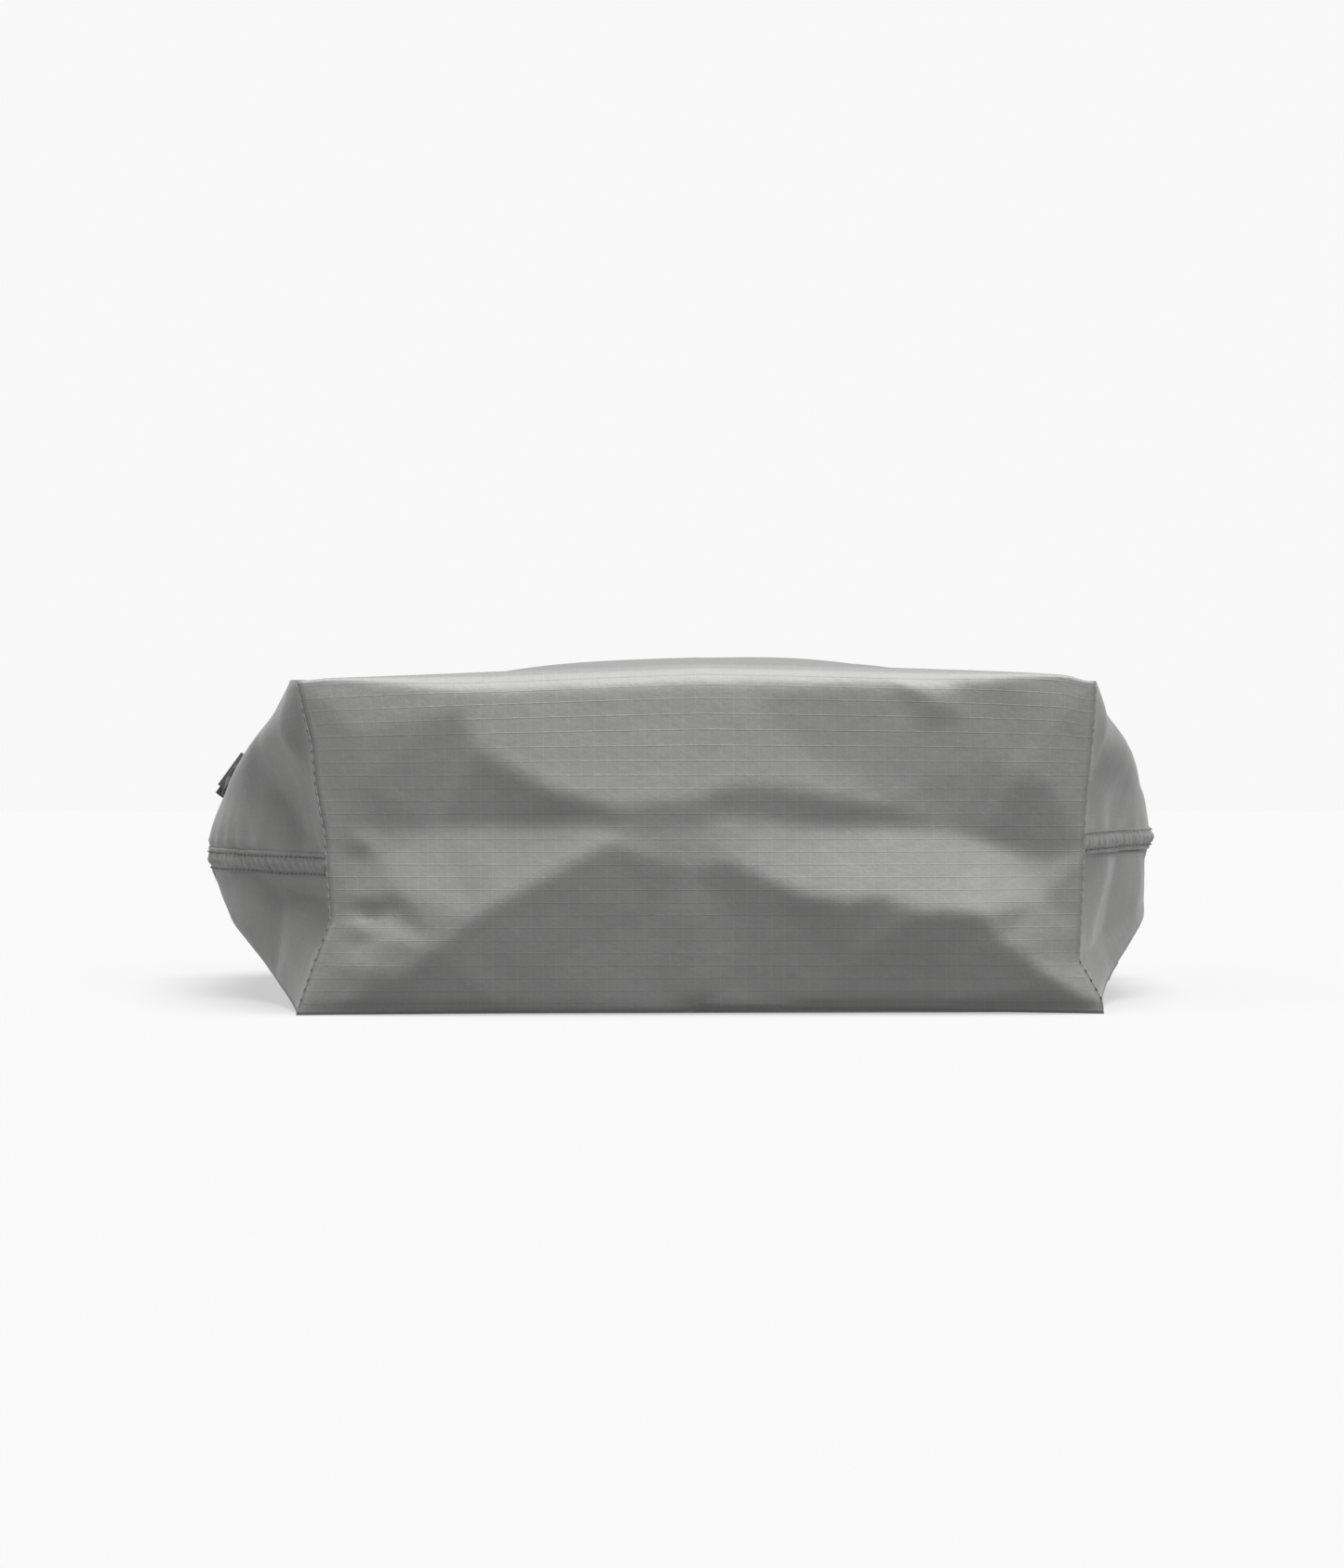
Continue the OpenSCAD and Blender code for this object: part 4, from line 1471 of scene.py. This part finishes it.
@dataclass
class Drawcord:
    """The cord's free loop, from one eyelet through the lock and back to the other."""

    diameter: float = 3 * MM
    # The route's points, as in the frame's design, in metres.
    route: tuple = tuple((x * MM, y * MM, z * MM) for x, y, z in (
        (-108, 184, 61.5), (-111.5, 183.5, 66.5), (-114, 180.5, 69.5), (-116, 174, 70.5),
        (-118.5, 165, 71), (-126, 153, 73.5), (-142, 133, 79), (-159, 113, 84.5),
        (-176, 93, 90), (-191, 75, 94), (-200.9, 61, 94.5), (-200.9, 49, 94.5),
        (-200.9, 35, 94.5), (-200.9, 21, 94.5), (-200.9, 7, 94.5), (-200.9, -5, 94.5),
        (-199, -11.5, 97), (-195.5, -19, 98), (-197, -24.5, 95.5), (-199.5, -27, 91.5),
        (-202.5, -24.5, 87.5), (-203.5, -19, 85.5), (-203, -11.5, 88.7), (-202.7, -5, 91.9),
        (-202.7, 7, 91.9), (-202.7, 21, 91.9), (-202.7, 35, 91.9), (-202.7, 49, 91.9),
        (-202.7, 61, 91.9), (-197, 75, 88.5), (-183.5, 93, 79.5), (-168.5, 113, 71),
        (-153, 133, 63), (-138.5, 153, 56), (-132, 165, 52.5), (-130, 174, 51.5),
        (-128.5, 180.5, 50.5), (-124.5, 183.5, 49.5), (-118.5, 184, 48)))

    def path(self) -> Array:
        """A smooth curve through the route: between two points, each mixes in its neighbours' slope.

        Returns:
            Points of the curve.
        """
        p = np.array(self.route)
        ends = np.concatenate([p[:1], p, p[-1:]])
        a, b, c, d = ends[:-3, None], ends[1:-2, None], ends[2:-1, None], ends[3:, None]
        t = np.linspace(0, 1, 6, endpoint=False)[None, :, None]
        bend, twist = 2 * a - 5 * b + 4 * c - d, 3 * b - a - 3 * c + d
        curve = 0.5 * (2 * b + (c - a) * t + bend * t ** 2 + twist * t ** 3)
        return np.concatenate([curve.reshape(-1, 3), p[-1:]])

    def build(self, palette: Palette, lock: list[Piece]) -> None:
        """Args:
            palette: Gives each piece its finish, slot and body.
            lock: Pieces that lie on the cord; not used.
        """
        path = self.path()
        piece = tube("drawcord", path, self.diameter / 2)
        palette.settle(piece, Finish.CORD, "bag", "drawcord_loop")


@dataclass
class HangLoop:
    """A ring of webbing below the hem, with its sewn stem and bar tack."""

    thickness: float = 1.0 * MM
    stem: float = 9 * MM
    thread: StitchSize = StitchSize(1.6 * MM, 0.1 * MM, 0.5 * MM)

    def build(self, palette: Palette) -> None:
        """Carries the webbing's flat section round the loop, and tacks the stem.

        Args:
            palette: Gives each piece its finish, slot and body.
        """
        low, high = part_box("hang_loop")
        thick = self.thickness
        gap = high.x - low.x - 2.0 * thick
        r = gap / 2 + thick / 2
        cx, width = (low.x + high.x) / 2, high.y - low.y
        top, bottom = high.z - self.stem - gap / 2, low.z + gap / 2 + thick
        a = np.linspace(math.pi, 0, 16)
        b = np.linspace(0, -math.pi, 16)
        stem = np.linspace(high.z, top, 8)[:-1]
        mid = np.concatenate([
            np.stack([np.full_like(stem, cx - r), stem], -1),
            np.stack([cx - r + 0 * b, top + 0 * b], -1)[:1],
            np.stack([np.full(8, cx - r), np.linspace(top, bottom, 9)[1:]], -1),
            np.stack([cx + r * np.cos(b[::-1]), bottom + r * np.sin(b[::-1])], -1)[1:],
            np.stack([np.full(8, cx + r), np.linspace(bottom, top, 9)[1:]], -1),
            np.stack([cx + r * np.cos(a[::-1]), top + r * np.sin(a[::-1])], -1)[1:13],
            np.stack([np.linspace(cx - r + 2.2 * MM, cx - r + thick, 5),
                      np.linspace(top + r, high.z, 5)], -1)])
        along = unit(np.gradient(mid, axis=0))
        side = np.stack([along[:, 1], -along[:, 0]], -1)
        t = np.linspace(0, 2 * math.pi, 20, endpoint=False)
        across = width / 2 * np.sign(np.cos(t)) * np.abs(np.cos(t)) ** 0.35
        through = thick / 2 * np.sign(np.sin(t)) * np.abs(np.sin(t)) ** 0.6
        y_mid = (low.y + high.y) / 2
        rows = np.stack([
            mid[:, None, 0] + side[:, None, 0] * through[None],
            y_mid + across[None] + 0 * mid[:, None, 0],
            mid[:, None, 1] + side[:, None, 1] * through[None]], -1)
        palette.settle(lofted("webbing_loop", rows), Finish.WEBBING, "bag", "hang_loop")
        zig = np.linspace(0, 1, 120)
        path = np.stack([np.full_like(zig, cx - r + thick * 1.6), y_mid + width * 0.42 * np.sin(zig * 34),
                         high.z - 3 * MM - zig * 3.5 * MM], -1)
        out = np.tile([1.0, 0.0, 0.0], (len(zig), 1))
        palette.settle(stitches("loop_bar_tack", path, out, self.thread), Finish.THREAD, "bag")


@dataclass
class Hardware:
    """Moulded and stamped pieces: the CAD shapes, merged and with their edges eased."""

    eased: tuple = (
        ("cord_lock_body", "lock_shell", Finish.LOCK, "lock", 1.3 * MM),
        ("cord_lock_button", "lock_button", Finish.BUTTON, "button", 1.1 * MM),
        ("eyelets", "pressed_eyelets", Finish.EYELET, "bag", 0.12 * MM))
    rounds: int = 3
    sharp: float = 40.0
    kept: tuple = (("eyelet_washers", Finish.EYELET), ("drawcord_in_hem", Finish.CORD))

    def merged(self, node: str, name: str) -> Piece:
        """A smooth copy of a CAD node, its loose triangles joined and its flats made whole.

        Args:
            node: Name of the CAD node.
            name: Name of the copy.

        Returns:
            The copy.
        """
        mesh = frame["nodes"][node].data.copy()
        piece = bpy.data.objects.new(name, mesh)
        bpy.context.scene.collection.objects.link(piece)
        b = bmesh.new()
        b.from_mesh(mesh)
        bmesh.ops.remove_doubles(b, verts=b.verts, dist=2e-6)
        bmesh.ops.dissolve_limit(b, angle_limit=math.radians(1), verts=b.verts, edges=b.edges)
        b.to_mesh(mesh)
        b.free()
        mesh.polygons.foreach_set("use_smooth", np.ones(len(mesh.polygons), bool))
        return piece

    def spring(self, palette: Palette) -> Piece:
        """The spring, a smooth copy of the CAD node that rides on the lock; it does not shorten when the
        button squeezes it against its far end.

        Args:
            palette: Gives each piece its finish, slot and body.

        Returns:
            The spring.
        """
        piece = self.merged("cord_lock_spring", "lock_spring")
        palette.settle(piece, Finish.SPRING, "lock", "cord_lock_spring")
        joint = next(j for j in frame["joints"] if j["name"] == "button_press")
        axis = np.array(joint["axis"], float)
        points = np.array([v.co[:] for v in piece.data.vertices])
        along = points @ axis
        long = float(along.max() - along.min())
        (long - joint["range_m"][1]) / long
        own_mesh(piece)
        return piece

    def build(self, palette: Palette) -> list[Piece]:
        """Makes the eased pieces and dresses the kept nodes; returns the pieces that lie on the cord.

        Args:
            palette: Gives each piece its finish, slot and body.

        Returns:
            The pieces that lie on the cord.
        """
        made = []
        for node, name, finish, body, width in self.eased:
            piece = self.merged(node, name)
            bevel = piece.modifiers.new("eased", "BEVEL")
            bevel.width = width
            bevel.segments = self.rounds
            bevel.limit_method = "ANGLE"
            bevel.angle_limit = math.radians(self.sharp)
            bevel.harden_normals = True
            palette.settle(piece, finish, body, node)
            made.append(piece)
        for node, finish in self.kept:
            palette.redress(frame["nodes"][node], finish)
            LOG.info("%s: CAD shape, %s", node, finish.value)
        return made[:2] + [self.spring(palette)]


@dataclass(frozen=True)
class Sun:
    """A soft sun-like light: where it stands, how wide it is in degrees, and its power."""

    name: str
    towards: tuple
    spread: float
    power: float


@dataclass
class Studio:
    """Pale floor, soft lights and the camera, which looks level at the base."""

    distance: float = 1.5
    aim_x: float = -11.6 * MM
    aim_z: float = 91.2 * MM
    stand_x: float = -55 * MM
    stand_z: float = 100 * MM
    view_height: float = 0.620
    sensor: float = 36.0
    ambient: float = 0.2
    backdrop: float = 0.94
    floor_half: float = 6.0
    floor_drop: float = 0.2 * MM
    suns: tuple = (
        Sun("overhead", (0.10, -0.21, 1.0), 44.0, 6.2),
        Sun("side", (0.9, -1.2, 0.8), 40.0, 0.70),
        Sun("far_side", (-1.0, -0.35, 0.5), 50.0, 0.65))

    def build(self, shape: BagShape) -> None:
        """Makes the camera first, then the floor and the lights.

        Args:
            shape: The shape of the bag.
        """
        scene = bpy.context.scene
        data = bpy.data.cameras.new("camera")
        data.sensor_fit = "VERTICAL"
        data.sensor_height = self.sensor
        data.lens = self.sensor * self.distance / self.view_height
        camera = bpy.data.objects.new("camera", data)
        scene.collection.objects.link(camera)
        camera.location = (self.stand_x, shape.base_y - self.distance, self.stand_z)
        aim = Vector((self.aim_x, shape.base_y, self.aim_z)) - camera.location
        camera.rotation_euler = aim.to_track_quat("-Z", "Y").to_euler()
        scene.camera = camera
        self._floor()
        self._lights()

    def _floor(self) -> None:
        """A floor far wider than the view."""
        corners = np.array([[-1, -1, 0], [1, -1, 0], [1, 1, 0], [-1, 1, 0]]) * self.floor_half
        floor = make_piece("floor", corners, [[0, 1, 2, 3]])
        floor.data.materials.append(Backdrop().material())
        floor.location.z = -self.floor_drop

    def _lights(self) -> None:
        """A broad light above, weak ones from both sides, and a pale backdrop that lights little."""
        for sun in self.suns:
            light = bpy.data.lights.new(sun.name, "SUN")
            light.angle = math.radians(sun.spread)
            light.energy = sun.power
            holder = bpy.data.objects.new(sun.name, light)
            bpy.context.scene.collection.objects.link(holder)
            holder.rotation_euler = Vector(sun.towards).to_track_quat("Z", "Y").to_euler()
        world = bpy.data.worlds.new("surrounding")
        bpy.context.scene.world = world
        world.use_nodes = True
        tree = world.node_tree
        seen = Wire(tree, tree.nodes.new("ShaderNodeLightPath").outputs["Is Camera Ray"])
        background = tree.nodes["Background"]
        strength = seen * (self.backdrop - self.ambient) + self.ambient
        plug(tree, background.inputs["Strength"], strength)
        background.inputs["Color"].default_value = (1, 1, 1, 1)
        bpy.context.scene.view_settings.view_transform = "Standard"


def main() -> None:
    """Builds the studio, the cord and then every other piece of the bag."""
    logging.basicConfig(level=logging.INFO, format="%(name)s: %(message)s")
    palette = Palette()
    shape = BagShape()
    Studio().build(shape)
    Drawcord().build(palette, Hardware().build(palette))
    ClothBody(shape).build(palette)
    Hem(shape).build(palette)
    for side in ("left", "right"):
        SideSeam(shape, side).build(palette)
        EndSeam(shape, side).build(palette)
    CareLabel(shape).build(palette)
    HangLoop().build(palette)


if __name__ == "__main__":
    main()
